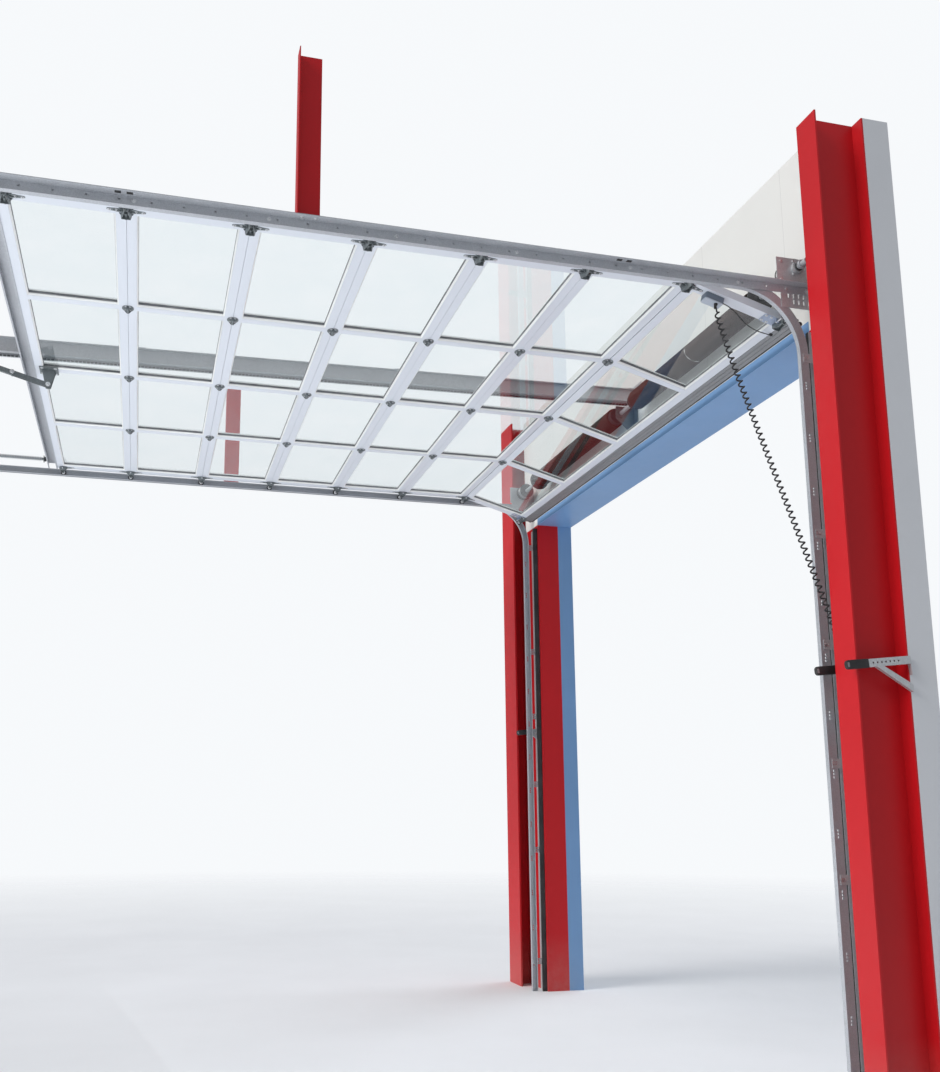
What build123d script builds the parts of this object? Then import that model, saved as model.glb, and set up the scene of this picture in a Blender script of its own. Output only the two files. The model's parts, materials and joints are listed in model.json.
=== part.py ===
from build123d import *
from math import acos, atan2, cos, degrees, radians, sin, sqrt, tan
import os

# One apparatus bay's full-view sectional overhead door, raised, with its steel surround.
# X runs along the wall, Y into the building, Z up. The origin is the centre of the foot
# of the near column. Millimetres.

# Doorway and door leaf
opening_width = 4267.2
opening_height = 4267.2
section_count = 7
section_height = 609.6
section_gap = 1.6
pane_count = 4
leaf_thickness = 44.5
rail_height = 57.0
end_stile = 84.0
stile_width = 68.0
glass_thickness = 6.0
glass_rebate = 8.0
bead_step = 7.0
bead_depth = 14.0
clearance = 0.3

# Steel frame and wall
bay_height = 5400.0
column_depth = 310.0
near_flange_width = 165.0
near_flange = 9.7
near_web = 5.8
far_flange_width = 305.0
far_flange = 15.4
far_web = 9.9
near_column_to_opening = 280.0
opening_to_far_column = 473.0
wall_inner = 20.0
wall_outer = -320.0
channel_depth = 203.0
channel_leg = 57.0
channel_web = 6.0
channel_flange = 10.0
trim_thickness = 3.0
trim_leg = 75.0
panel_rib_pitch = 305.0
panel_rib_width = 38.0
panel_rib_height = 18.0
first_panel_rib = -40.0

# Track and its fixings
track_centre = 120.0
track_web_height = 51.0
track_depth = 28.0
track_wall = 2.0
track_lip = 7.0
track_offset = 80.0
curve_radius = 381.0
track_end = 5355.0
angle_drop = 50.0
angle_ledge = 50.0
angle_wall = 4.0
angle_top = 4487.0
angle_start = 62.0
angle_hole = 10.0
angle_hole_pitch = 152.0
angle_hole_height = 4462.0
spacer_length = 30.0
spacer_pitch = 650.0
track_slot = 10.0
track_slot_step = 17.0
track_slot_pitch = 305.0
track_slot_first = 237.0
wall_angle_width = 130.0
wall_angle_offset = 40.0
wall_angle_stand = 38.0
wall_angle_top = 4240.0
seal_width = 22.0
seal_depth = 40.0
clip_height = 50.0
clip_wall = 3.0
clip_foot = 58.0
clip_slot = 9.0
clip_slot_height = 14.0
clip_heights = (251.0, 1227.0, 1817.0, 2443.0, 3051.0, 4060.0)

# Hinges and rollers
roller_axis = 4465.0
face_offset = 15.0
first_joint = 755.0
bottom_roller_reach = 590.0
top_roller_inset = 45.0
roller_diameter = 46.0
roller_width = 14.0
stem_diameter = 11.0
centre_wing_reach = 34.0
centre_wing_base = 68.0
centre_wing_tip = 40.0
end_wing_reach = 94.0
end_wing_base = 66.0
end_wing_tip = 22.0
wing_shoulder = 16.0
hinge_plate = 3.0
cheek_reach = 28.0
knuckle_diameter = 17.0
knuckle_length = 52.0
carrier_width = 28.0
carrier_top = 11.0
carrier_drop = 17.0
carrier_length = 66.0
carrier_hole = 11.0
corner_plate_length = 128.0
corner_plate_width = 78.0
retainer_height = 74.0
retainer_lip = 3.0
retainer_grooves = (14.0, 40.0)
retainer_groove_width = 12.0
seal_bulb = 26.0
strut_width = 76.0
strut_depth = 50.0
strut_wall = 3.0
strut_lip = 10.0

# Counterbalance above the doorway
shaft_diameter = 32.0
shaft_y = 134.0
shaft_z = 4598.0
shaft_overhang = 96.0
spring_diameter = 150.0
spring_wire = 12.0
spring_length = 1570.0
near_spring_to_middle = 223.6
far_spring_to_middle = 146.4
cone_length = 70.0
cone_rim_diameter = 172.0
cone_rim = 14.0
plug_length = 40.0
drum_diameter = 134.0
drum_width = 100.0
drum_flange = 6.0
cable_diameter = 5.0
cable_pin_diameter = 12.0
cable_pin_lift = 30.0
plate_thickness = 4.0
plate_reach = 262.0
plate_flag_reach = 246.0
plate_bottom = 4352.0
plate_step = 4500.0
plate_top = 4654.0
plate_flange = 62.0
plate_slot_width = 9.0
plate_slot_height = 26.0
plate_slot_pitch = 32.0
plate_slot_rows = ((4388.0, 71.0), (4424.0, 103.0))
bearing_diameter = 72.0
bearing_length = 20.0
bearing_wall = 6.0
bearing_drop = 130.0
bearing_from_middle = 51.4

# Drawbar operator
rail_bottom = 4660.0
rail_depth = 105.0
rail_slope = 1.2
rail_flange = 32.0
rail_wall = 4.0
rail_gap = 36.0
rail_end = 5660.0
motor_length = 470.0
motor_width = 300.0
motor_height = 320.0
arm_pivot_y = 4322.0
arm_pivot_z = 4372.0
trolley_y = 4900.0
trolley_length = 140.0
trolley_drop = 24.0
arm_width = 32.0
arm_thickness = 6.0
arm_overlap = 120.0
arm_gap = 22.0
arm_bolt = 14.0
arm_plate = 60.0
arm_ear = 45.0
arm_boss = 16.0
trolley_half = 14.0
tie_width = 50.0
tie_places = (60.0, 1900.0, 3700.0)
rail_foot = 90.0
motor_below_rail = 60.0
motor_corner = 18.0

# Hangers, bumpers, rests and cord
hanger_y = 2925.0
end_hanger_y = 5260.0
hanger_leg = 76.0
hanger_width = 126.0
hanger_wall = 5.0
bumper_rod = 22.0
bumper_lift = 93.0
bumper_box_height = 84.0
bumper_plate = 48.0
bumper_plate_y = 4533.0
bumper_box_start = 5085.0
bumper_box_length = 110.0
rest_height = 2290.0
rest_rise = 6.0
rest_bar = 41.0
rest_depth = 21.0
rest_hole = 9.0
rest_hole_pitch = 25.0
rest_tip = 131.0
rest_tip_wall = 3.0
rest_base = 6.0
rest_reach = 225.0
rest_offset = 128.0
near_rest_brace = (60.0, 28.0)
outside_rest_brace = (150.0, 165.0)
cord_diameter = 36.0
lead_diameter = 6.0
cord_box_top = 2110.0
cord_box_width = 76.0
cord_box_height = 120.0
cord_start_x = 42.0
cord_start_y = 188.0
cord_first_run = 78.0
cord_last_run = 110.0
cord_end_x = 60.0
cord_end_y = 46.0
sensor_box_start = 110.0
sensor_box_length = 115.0
sensor_box_inset = 20.0
sensor_box_width = 66.0
sensor_box_depth = 40.0

near_edge = near_column_to_opening
far_edge = near_edge + opening_width
mid = (near_edge + far_edge) / 2
far_column_x = far_edge + opening_to_far_column
wall_start = -near_flange_width / 2
wall_end = far_column_x + far_flange_width / 2
last_rib_start = wall_end - panel_rib_width / 2
panel_rib_count = int((last_rib_start - first_panel_rib) / panel_rib_pitch) + 1
rib_places = [first_panel_rib + index * panel_rib_pitch for index in range(panel_rib_count)]
rib_clear = trim_leg + panel_rib_width / 2
near_wall_ribs = [x for x in rib_places if x < near_edge - rib_clear]
far_wall_ribs = [x for x in rib_places if x > far_edge + rib_clear]
leaf_face = roller_axis + face_offset


def block(x0, x1, y0, y1, z0, z1):
    return Pos((x0 + x1) / 2, (y0 + y1) / 2, (z0 + z1) / 2) * Box(abs(x1 - x0), abs(y1 - y0), abs(z1 - z0))


def rod(start, end, diameter):
    path = Line(start, end)
    return sweep(Plane(path @ 0, z_dir=path % 0) * Circle(diameter / 2), path)


def upright(points, z0, z1):
    face = make_face(Polyline(*points, close=True))
    return extrude(Pos(0, 0, z0) * face, z1 - z0)


def along_x(points, x0, x1):
    face = make_face(Polyline(*[(0, y, z) for y, z in points], close=True))
    return Pos(x0, 0, 0) * extrude(face, x1 - x0, dir=(1, 0, 0))


def along_y(points, y0, y1):
    face = make_face(Polyline(*[(x, 0, z) for x, z in points], close=True))
    return Pos(0, y0, 0) * extrude(face, y1 - y0, dir=(0, 1, 0))


def on_shaft(x0, x1, diameter):
    return Pos((x0 + x1) / 2, shaft_y, shaft_z) * Rot(0, 90, 0) * Cylinder(diameter / 2, x1 - x0)


def opposite(shape):
    return mirror(shape, about=Plane((mid, 0, 0), z_dir=(1, 0, 0)))


def joined(shapes):
    total = shapes[0]
    for shape in shapes[1:]:
        total = total + shape
    return total


def group(shapes):
    solids = []
    for shape in shapes:
        solids.extend(shape.solids())
    return Compound(children=solids)


def bottom_tilt():
    best = None
    for step in range(9000):
        turn = radians(step / 100)
        across = first_joint - (track_centre + curve_radius) + curve_radius * sin(turn)
        down = curve_radius * (1 - cos(turn))
        if sqrt(across ** 2 + down ** 2) >= bottom_roller_reach:
            best = degrees(atan2(down, across))
            break
    return best


tilt = bottom_tilt()


def on_bottom_section(shape):
    return Pos(0, first_joint, roller_axis) * Rot(tilt, 0, 0) * shape


def bottom_point(along, off):
    turn = radians(tilt)
    return (first_joint + along * cos(turn) - off * sin(turn),
            roller_axis + along * sin(turn) + off * cos(turn))


def column(centre, flange_width, flange, web):
    half, depth = flange_width / 2, column_depth / 2
    inside = depth - flange
    points = [(-half, -depth), (half, -depth), (half, -inside), (web / 2, -inside), (web / 2, inside),
              (half, inside), (half, depth), (-half, depth), (-half, inside), (-web / 2, inside),
              (-web / 2, -inside), (-half, -inside)]
    return Pos(centre, 0, 0) * upright(points, 0, bay_height)


def jamb(column_face):
    outer = wall_inner - channel_depth
    x = near_edge
    points = [(x, wall_inner), (column_face, wall_inner), (column_face, wall_inner - channel_flange),
              (x - channel_web, wall_inner - channel_flange), (x - channel_web, outer + channel_flange),
              (x - channel_leg, outer + channel_flange), (x - channel_leg, outer), (x, outer)]
    return upright(points, 0, opening_height + trim_thickness)


def jamb_trim():
    x = near_edge
    inner = wall_inner - channel_depth
    points = [(x, inner), (x, wall_outer), (x - trim_leg, wall_outer),
              (x - trim_leg, wall_outer + trim_thickness),
              (x - trim_thickness, wall_outer + trim_thickness), (x - trim_thickness, inner)]
    return upright(points, 0, opening_height)


def header_trim():
    z = opening_height
    points = [(wall_inner, z), (wall_outer, z), (wall_outer, z + trim_leg),
              (wall_outer + trim_thickness, z + trim_leg),
              (wall_outer + trim_thickness, z + trim_thickness), (wall_inner, z + trim_thickness)]
    return along_x(points, near_edge, far_edge)


def wall_rib(x, z0, z1):
    face = wall_outer + trim_thickness
    half, crest = panel_rib_width / 2, panel_rib_width / 4
    points = [(x - half, face + 1), (x - half, face), (x - crest, face - panel_rib_height),
              (x + crest, face - panel_rib_height), (x + half, face), (x + half, face + 1)]
    return upright(points, z0, z1)


def side_wall(start, ribs):
    x = near_edge - trim_thickness
    face = wall_outer + trim_thickness
    back = -column_depth / 2
    channel_back = wall_inner - channel_depth
    step = near_edge - channel_leg - trim_thickness
    points = [(start, face), (x, face), (x, channel_back), (step, channel_back), (step, back), (start, back)]
    top = opening_height + trim_thickness
    return joined([upright(points, 0, top)] + [wall_rib(place, 0, top) for place in ribs])


def header_wall():
    low = opening_height + trim_thickness
    face, back = wall_outer + trim_thickness, -column_depth / 2
    sheet = block(wall_start, wall_end, face, back, low, bay_height)
    ribs = []
    for x in rib_places:
        over_trim = near_edge - rib_clear < x < far_edge + rib_clear
        ribs.append(wall_rib(x, opening_height + trim_leg if over_trim else low, bay_height))
    return joined([sheet] + ribs)


def header_liner():
    return block(near_flange_width / 2, far_column_x - far_flange_width / 2, -column_depth / 2, wall_inner,
                 opening_height + trim_thickness, bay_height)


def wall_angle():
    x = near_edge - wall_angle_offset
    y = wall_inner
    points = [(x, y), (x, y + wall_angle_stand), (x - angle_wall, y + wall_angle_stand),
              (x - angle_wall, y + angle_wall), (x - wall_angle_width, y + angle_wall),
              (x - wall_angle_width, y)]
    return upright(points, 0, wall_angle_top)


def jamb_seal():
    x = near_edge - wall_angle_offset
    return block(x, x + seal_width, wall_inner, wall_inner + seal_depth, 0, wall_angle_top)


def track_profile():
    x = near_edge - track_offset
    low, high = track_centre - track_web_height / 2, track_centre + track_web_height / 2
    wall = track_wall
    return [(x, low), (x + track_depth, low), (x + track_depth, low + track_lip),
            (x + track_depth - wall, low + track_lip), (x + track_depth - wall, low + wall),
            (x + wall, low + wall), (x + wall, high - wall), (x + track_depth, high - wall),
            (x + track_depth, high), (x, high)]


def track_slots():
    x = near_edge - track_offset
    half = track_slot / 2
    slots = []
    height = track_slot_first
    while height < roller_axis - curve_radius - track_slot_step:
        for step in (-track_slot_step, 0, track_slot_step):
            z = height + step
            slots.append(block(x - 1, x + track_wall + 1, track_centre - half, track_centre + half,
                               z - half, z + half))
        height += track_slot_pitch
    return slots


def vertical_track():
    return upright(track_profile(), 0, roller_axis - curve_radius) - track_slots()


def horizontal_track():
    start = roller_axis - curve_radius
    bend_y = track_centre + curve_radius
    face = Pos(0, 0, start) * make_face(Polyline(*track_profile(), close=True))
    axis = Axis((0, bend_y, start), (1, 0, 0))
    curve = revolve(face, axis, -90)
    straight = along_y([(x, roller_axis + track_centre - y) for x, y in track_profile()], bend_y, track_end)
    return curve + straight


def track_angle():
    back = near_edge - track_offset - plate_thickness
    face = back - angle_wall
    low = angle_top - angle_drop
    points = [(back, low), (back, angle_top), (face - angle_ledge, angle_top),
              (face - angle_ledge, angle_top - angle_wall), (face, angle_top - angle_wall), (face, low)]
    angle = along_y(points, angle_start, track_end)
    half = angle_hole / 2
    holes = []
    y = plate_reach + angle_hole_pitch / 2
    while y < track_end - angle_hole_pitch / 2:
        holes.append(block(face - 1, back + 1, y - half, y + half, angle_hole_height - half,
                           angle_hole_height + half))
        y += angle_hole_pitch
    spacers = []
    y = track_centre + curve_radius
    while y < track_end - spacer_length:
        spacers.append(block(back - 1, near_edge - track_offset, y, y + spacer_length, low, angle_top))
        y += spacer_pitch
    return joined([angle - holes] + spacers)


def track_clip(height):
    x = near_edge - track_offset
    y = wall_inner + angle_wall
    low, high = height - clip_height / 2, height + clip_height / 2
    leg = block(x - clip_wall, x, y, track_centre + clip_slot, low, high)
    foot = block(x - clip_foot, x - clip_wall, y, y + clip_wall, low, high)
    slots = [block(x - clip_wall - 1, x + 1, y + across, y + across + clip_slot, height + up,
                   height + up + clip_slot_height)
             for across in (clip_slot, 3 * clip_slot, 5 * clip_slot)
             for up in (-1.3 * clip_slot_height, 0.3 * clip_slot_height)]
    return leg + foot - slots


def plate_slots(face, back):
    half_width, half_height = plate_slot_width / 2, plate_slot_height / 2
    slots = []
    for z, first in plate_slot_rows:
        for step in range(4):
            y = first + step * plate_slot_pitch
            slots.append(block(face - 1, back + 1, y - half_width, y + half_width, z - half_height,
                               z + half_height))
    return slots


def bearing_plate():
    x = near_edge - track_offset
    face = x - plate_thickness
    points = [(wall_inner, plate_bottom), (plate_flag_reach, plate_bottom), (plate_flag_reach, plate_step),
              (plate_reach, plate_step), (plate_reach, plate_top), (wall_inner, plate_top)]
    web = along_x(points, face, x)
    flange = block(x - plate_flange, face, wall_inner, wall_inner + plate_thickness, plate_bottom, plate_top)
    housing = on_shaft(face - bearing_length, face, bearing_diameter)
    bore = on_shaft(face - plate_flange, x + 1, shaft_diameter + 2 * clearance)
    return joined([web, flange, housing]) - plate_slots(face, x) - bore


def section_frame(low_rail):
    width, height = opening_width, section_height - section_gap
    frame = block(near_edge, far_edge, 0, height, 0, leaf_thickness)
    pitch = (width - 2 * end_stile + stile_width) / pane_count
    glass_low = leaf_thickness / 2 - glass_thickness / 2
    for index in range(pane_count):
        x0 = near_edge + end_stile + index * pitch
        x1 = x0 + pitch - stile_width
        y0, y1 = low_rail, height - rail_height
        frame -= block(x0, x1, y0, y1, -1, leaf_thickness + 1)
        frame -= block(x0 - glass_rebate, x1 + glass_rebate, y0 - glass_rebate, y1 + glass_rebate,
                       glass_low - clearance, glass_low + glass_thickness + clearance)
        for z0, z1 in ((-1, bead_depth), (leaf_thickness - bead_depth, leaf_thickness + 1)):
            frame -= block(x0 - bead_step, x1 + bead_step, y0 - bead_step, y1 + bead_step, z0, z1)
    return frame


def section_glass(low_rail):
    width, height = opening_width, section_height - section_gap
    pitch = (width - 2 * end_stile + stile_width) / pane_count
    low = leaf_thickness / 2 - glass_thickness / 2
    edge = glass_rebate - clearance
    panes = []
    for index in range(pane_count):
        x0 = near_edge + end_stile + index * pitch
        x1 = x0 + pitch - stile_width
        panes.append(block(x0 - edge, x1 + edge, low_rail - edge, height - rail_height + edge,
                           low, low + glass_thickness))
    return group(panes)


def place_section(number, shape):
    if number == 1:
        return on_bottom_section(Pos(0, -section_height + section_gap / 2, face_offset) * shape)
    y = first_joint + (number - 2) * section_height + section_gap / 2
    return Pos(0, y, leaf_face) * shape


def hinge_wing(side, reach, base, tip):
    wide, narrow = base / 2, tip / 2
    points = [(-wide, side * 1.5), (wide, side * 1.5), (wide, side * wing_shoulder), (narrow, side * reach),
              (-narrow, side * reach), (-wide, side * wing_shoulder)]
    if side < 0:
        points.reverse()
    return upright(points, face_offset - hinge_plate, face_offset)


def hinge_cheeks(side):
    seat = face_offset - hinge_plate
    cheek_points = [(0, 0), (side * cheek_reach, seat), (side * 2, seat)]
    half = knuckle_length / 2
    return [along_x(cheek_points, x, x + hinge_plate) for x in (-half, half - hinge_plate)]


def half_hinge(side, wing):
    return joined([hinge_wing(side, *wing)] + hinge_cheeks(side))


def knuckle():
    return Rot(0, 90, 0) * Cylinder(knuckle_diameter / 2, knuckle_length)


def place_at_joint(number, x, shape):
    return Pos(x, first_joint + (number - 1) * section_height, roller_axis) * shape


def hinge(number, x, wing):
    lower = half_hinge(-1, wing)
    if number == 1:
        lower = Rot(tilt, 0, 0) * lower
    return place_at_joint(number, x, half_hinge(1, wing) + lower + knuckle())


def stile_centres():
    pitch = (opening_width - 2 * end_stile + stile_width) / pane_count
    return [near_edge + end_stile + index * pitch - stile_width / 2 for index in range(1, pane_count)]


def centre_hinges():
    wing = (centre_wing_reach, centre_wing_base, centre_wing_tip)
    return [hinge(number, x, wing) for number in range(1, section_count) for x in stile_centres()]


def roller(y, z):
    wheel_x = near_edge - track_offset + track_wall + 3
    stem_end = near_edge + 75
    wheel = Cylinder(roller_diameter / 2, roller_width)
    stem = Cylinder(stem_diameter / 2, stem_end - wheel_x)
    turn = Rot(0, 90, 0)
    return (Pos(wheel_x + roller_width / 2, y, z) * turn * wheel
            + Pos((wheel_x + stem_end) / 2, y, z) * turn * stem)


def roller_carrier():
    half, low = carrier_width / 2, -carrier_drop
    wall = hinge_plate
    start, end = near_edge + 2, near_edge + 2 + carrier_length
    cheeks = [block(start, end, y, y + wall, low, carrier_top) for y in (-half, half - wall)]
    floor = block(start, end, -half, half, low, low + wall)
    holes = [Pos(start + part * carrier_length, 0, low) * Cylinder(carrier_hole / 2, 4 * wall)
             for part in (0.3, 0.7)]
    return joined(cheeks + [floor]) - holes


def end_hinges():
    x = near_edge + end_wing_base / 2 + 2
    wing = (end_wing_reach, end_wing_base, end_wing_tip)
    pieces = []
    for number in range(1, section_count):
        y = first_joint + (number - 1) * section_height
        carrier = Pos(0, y, roller_axis) * roller_carrier()
        pieces.append(hinge(number, x, wing) + carrier + roller(y, roller_axis))
    top_y = first_joint + (section_count - 1) * section_height - top_roller_inset
    top = Pos(x, 0, 0) * (half_hinge(-1, wing) + knuckle()) + roller_carrier()
    pieces.append(Pos(0, top_y, roller_axis) * top + roller(top_y, roller_axis))
    reach = -bottom_roller_reach
    bottom = Pos(x, reach, 0) * (joined(hinge_cheeks(1)) + knuckle()) + Pos(0, reach, 0) * roller_carrier()
    plate = block(near_edge + 2, near_edge + 2 + corner_plate_width, reach - carrier_width / 2,
                  reach - carrier_width / 2 + corner_plate_length, face_offset - hinge_plate, face_offset)
    pin_y = cable_pin_lift + reach
    pin = Pos(near_edge - 9, pin_y, 0) * Rot(0, 90, 0) * Cylinder(cable_pin_diameter / 2, 58)
    cheek = block(near_edge + 2, near_edge + 8, pin_y - 8, pin_y + 12, -8, face_offset)
    pieces.append(on_bottom_section(joined([plate, bottom, pin, cheek]))
                  + roller(*bottom_point(-bottom_roller_reach, 0)))
    return pieces


def bottom_retainer():
    y = -section_height
    face, back = face_offset - retainer_lip, face_offset + leaf_thickness
    points = [(y, back), (y, face)]
    for drop in retainer_grooves:
        top, low = y - drop, y - drop - retainer_groove_width
        points.extend([(top, face), (top, face_offset), (low, face_offset), (low, face)])
    points.extend([(y - retainer_height, face), (y - retainer_height, back)])
    return on_bottom_section(along_x(points, near_edge, far_edge))


def bottom_seal():
    y = -section_height - retainer_height
    middle = face_offset + leaf_thickness / 2
    neck = block(near_edge, far_edge, y - seal_bulb / 2, y, middle - seal_bulb / 3, middle + seal_bulb / 3)
    bulb = Pos(mid, y - seal_bulb / 2, middle) * Rot(0, 90, 0) * Cylinder(seal_bulb / 2, opening_width)
    return on_bottom_section(neck + bulb)


def top_strut():
    y0 = first_joint + (section_count - 1) * section_height - section_gap / 2
    y1 = y0 + strut_width
    z0, z1 = leaf_face + leaf_thickness - strut_depth, leaf_face + leaf_thickness
    wall, lip = strut_wall, strut_lip
    points = [(y0, z0), (y0, z1), (y1, z1), (y1, z0), (y1 - lip, z0), (y1 - lip, z0 + wall),
              (y1 - wall, z0 + wall), (y1 - wall, z1 - wall), (y0 + wall, z1 - wall), (y0 + wall, z0 + wall),
              (y0 + lip, z0 + wall), (y0 + lip, z0)]
    return along_x(points, near_edge, far_edge)


def torsion_shaft():
    start = near_edge - track_offset - plate_thickness - shaft_overhang
    return on_shaft(start, 2 * mid - start, shaft_diameter)


def spring(start, end):
    bore = spring_diameter - 2 * spring_wire
    coil = on_shaft(start, end, spring_diameter) - on_shaft(start - 1, end + 1, bore)
    cone = on_shaft(start - cone_length, start + cone_length, bore)
    rim = on_shaft(start - cone_length, start - cone_length + cone_rim, cone_rim_diameter)
    plug = on_shaft(end - plug_length, end + plug_length, bore)
    body = joined([coil, cone, rim, plug])
    return body - on_shaft(start - 2 * cone_length, end + 2 * cone_length, shaft_diameter + 2 * clearance)


def drum():
    x = near_edge - track_offset + 10
    body = on_shaft(x, x + drum_width, drum_diameter - 12)
    body += on_shaft(x, x + drum_flange, drum_diameter)
    body += on_shaft(x + drum_width - drum_flange, x + drum_width, drum_diameter)
    return body - on_shaft(x - 1, x + drum_width + 1, shaft_diameter + 2 * clearance)


def centre_bearing():
    x = mid + bearing_from_middle
    low, high = shaft_z - bearing_drop, rail_bottom - rail_wall - 10 * clearance
    points = [(wall_inner, low), (wall_inner + 60, low), (shaft_y + 40, shaft_z - 40), (shaft_y + 40, high),
              (wall_inner, high)]
    cheek = along_x(points, x, x + bearing_wall)
    foot = block(x - 64, x, wall_inner, wall_inner + bearing_wall, low, high)
    housing = on_shaft(x - bearing_length / 2, x + bearing_length, bearing_diameter)
    return joined([cheek, foot, housing]) - on_shaft(x - bearing_length, x + 2 * bearing_length,
                                                     shaft_diameter + 2 * clearance)


def lift_cable():
    x = near_edge - 30
    pin_y, pin_z = bottom_point(cable_pin_lift - bottom_roller_reach, 0)
    reach = drum_diameter / 2 - drum_flange + cable_diameter / 2 + clearance
    away = sqrt((pin_y - shaft_y) ** 2 + (pin_z - shaft_z) ** 2)
    turn = atan2(pin_z - shaft_z, pin_y - shaft_y) - acos(reach / away)
    seat = cable_pin_diameter / 2 + 4 * clearance
    return rod((x, shaft_y + reach * cos(turn), shaft_z + reach * sin(turn)), (x, pin_y, pin_z + seat),
               cable_diameter)


def rail_fall(y):
    return (y - wall_inner) * tan(radians(rail_slope))


def operator_rail():
    half = rail_gap / 2
    edge = half + rail_flange
    z0, z1 = rail_bottom, rail_bottom + rail_depth
    rails = []
    for side in (-1, 1):
        points = [(half, z0), (edge, z0), (edge, z0 + rail_wall), (half + rail_wall, z0 + rail_wall),
                  (half + rail_wall, z1 - rail_wall), (edge, z1 - rail_wall), (edge, z1), (half, z1)]
        placed = [(mid + side * x, z) for x, z in points]
        rails.append(along_y(placed, wall_inner + rail_wall, rail_end + rail_wall))
    ties = [block(mid - edge, mid + edge, y, y + tie_width, z1, z1 + rail_wall)
            for y in tie_places + (rail_end - tie_width,)]
    sloped = Rot(-rail_slope, 0, 0) * Pos(0, -wall_inner, -z0) * joined(rails + ties)
    past_end = block(mid - 2 * edge, mid + 2 * edge, rail_end, rail_end + tie_width, z0 - 2 * rail_depth,
                     z1 + tie_width)
    foot = block(mid - rail_foot, mid + rail_foot, wall_inner, wall_inner + bearing_wall, z0 - rail_wall,
                 z1 + tie_width)
    return joined([foot, Pos(0, wall_inner, z0) * sloped - past_end])


def operator_motor():
    y = rail_end
    z = rail_bottom - rail_fall(rail_end) - motor_below_rail
    body = block(mid - motor_width / 2, mid + motor_width / 2, y, y + motor_length, z, z + motor_height)
    return fillet(body.edges().filter_by(Axis.Y), motor_corner)


def strap(start, end, x):
    y0, z0 = start
    y1, z1 = end
    length = sqrt((y1 - y0) ** 2 + (z1 - z0) ** 2)
    across = (-(z1 - z0) / length * arm_width / 2, (y1 - y0) / length * arm_width / 2)
    points = [(y0 - across[0], z0 - across[1]), (y1 - across[0], z1 - across[1]),
              (y1 + across[0], z1 + across[1]), (y0 + across[0], z0 + across[1])]
    bar = along_x(points, x, x + arm_thickness)
    for y, z in (start, end):
        bar += Pos(x + arm_thickness / 2, y, z) * Rot(0, 90, 0) * Cylinder(arm_width / 2, arm_thickness)
    return bar


def operator_arm():
    y, low, seat = arm_pivot_y, arm_pivot_z, leaf_face - arm_thickness
    plate = block(mid - arm_plate, mid + arm_plate, y - arm_plate, y + arm_plate, seat, leaf_face)
    tip = low - arm_boss
    ear = [(y - arm_ear, seat), (y + arm_ear, seat), (y + arm_boss, tip), (y - arm_boss, tip)]
    ears = [along_x(ear, mid + x, mid + x + arm_thickness) for x in (-arm_gap, arm_gap - arm_thickness)]
    end_z = rail_bottom - rail_fall(trolley_y) - trolley_drop
    slope = (end_z - low) / (trolley_y - y)
    middle = (y + trolley_y) / 2
    before, past = [(place, low + slope * (place - y))
                    for place in (middle - arm_overlap / 2, middle + arm_overlap / 2)]
    lower = [strap((y, low), past, mid + x) for x in (-2 * arm_thickness, arm_thickness)]
    upper = [strap(before, (trolley_y, end_z), mid + x) for x in (-arm_thickness, 0)]
    bolts = [Pos(mid, *place) * Rot(0, 90, 0) * Cylinder(arm_bolt / 2, 2 * arm_gap + arm_thickness)
             for place in ((y, low), before, past, (trolley_y, end_z))]
    trolley = block(mid - trolley_half, mid + trolley_half, trolley_y - trolley_length / 2,
                    trolley_y + trolley_length / 2, end_z - arm_width / 2,
                    rail_bottom - rail_fall(trolley_y) + rail_depth - 3 * rail_wall)
    return joined([plate] + ears + lower + upper + bolts + [trolley])


def angle_hanger(x, y, z0):
    leg, width, wall = hanger_leg, hanger_width, hanger_wall
    points = [(0, 0), (-wall, 0), (-wall, width - wall), (-leg, width - wall), (-leg, width), (0, width)]
    return Pos(x, y, z0) * upright(points, 0, bay_height - z0)


def track_hangers():
    x = near_edge - track_offset - plate_thickness
    hangers = []
    for y in (hanger_y, end_hanger_y):
        piece = angle_hanger(x, y - hanger_width / 2, angle_top)
        hangers.extend([piece, opposite(piece)])
    return hangers


def motor_hangers():
    y = rail_end + motor_length / 2
    z = rail_bottom - rail_fall(rail_end) - motor_below_rail + motor_corner * 2
    legs = []
    for side in (-1, 1):
        x = mid + side * motor_width / 2
        legs.append(block(x, x + side * hanger_wall, y - strut_lip * 2, y + strut_lip * 2, z, bay_height))
    return legs


def bumper():
    x = near_edge - 18
    z = roller_axis + bumper_lift
    half = bumper_plate / 2
    bar = rod((x, bumper_plate_y, z), (x, bumper_box_start, z), bumper_rod)
    plate = block(x - half, x + half, bumper_plate_y - bearing_wall, bumper_plate_y, z - half, z + half)
    low = roller_axis + track_web_height / 2
    box = block(near_edge - track_offset - plate_thickness, x + half, bumper_box_start,
                bumper_box_start + bumper_box_length, low, low + bumper_box_height)
    return joined([plate, bar, box])


def tilted_rest(x, shape):
    return Pos(x, rest_reach, rest_height) * Rot(-rest_rise, 0, 0) * shape


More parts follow.
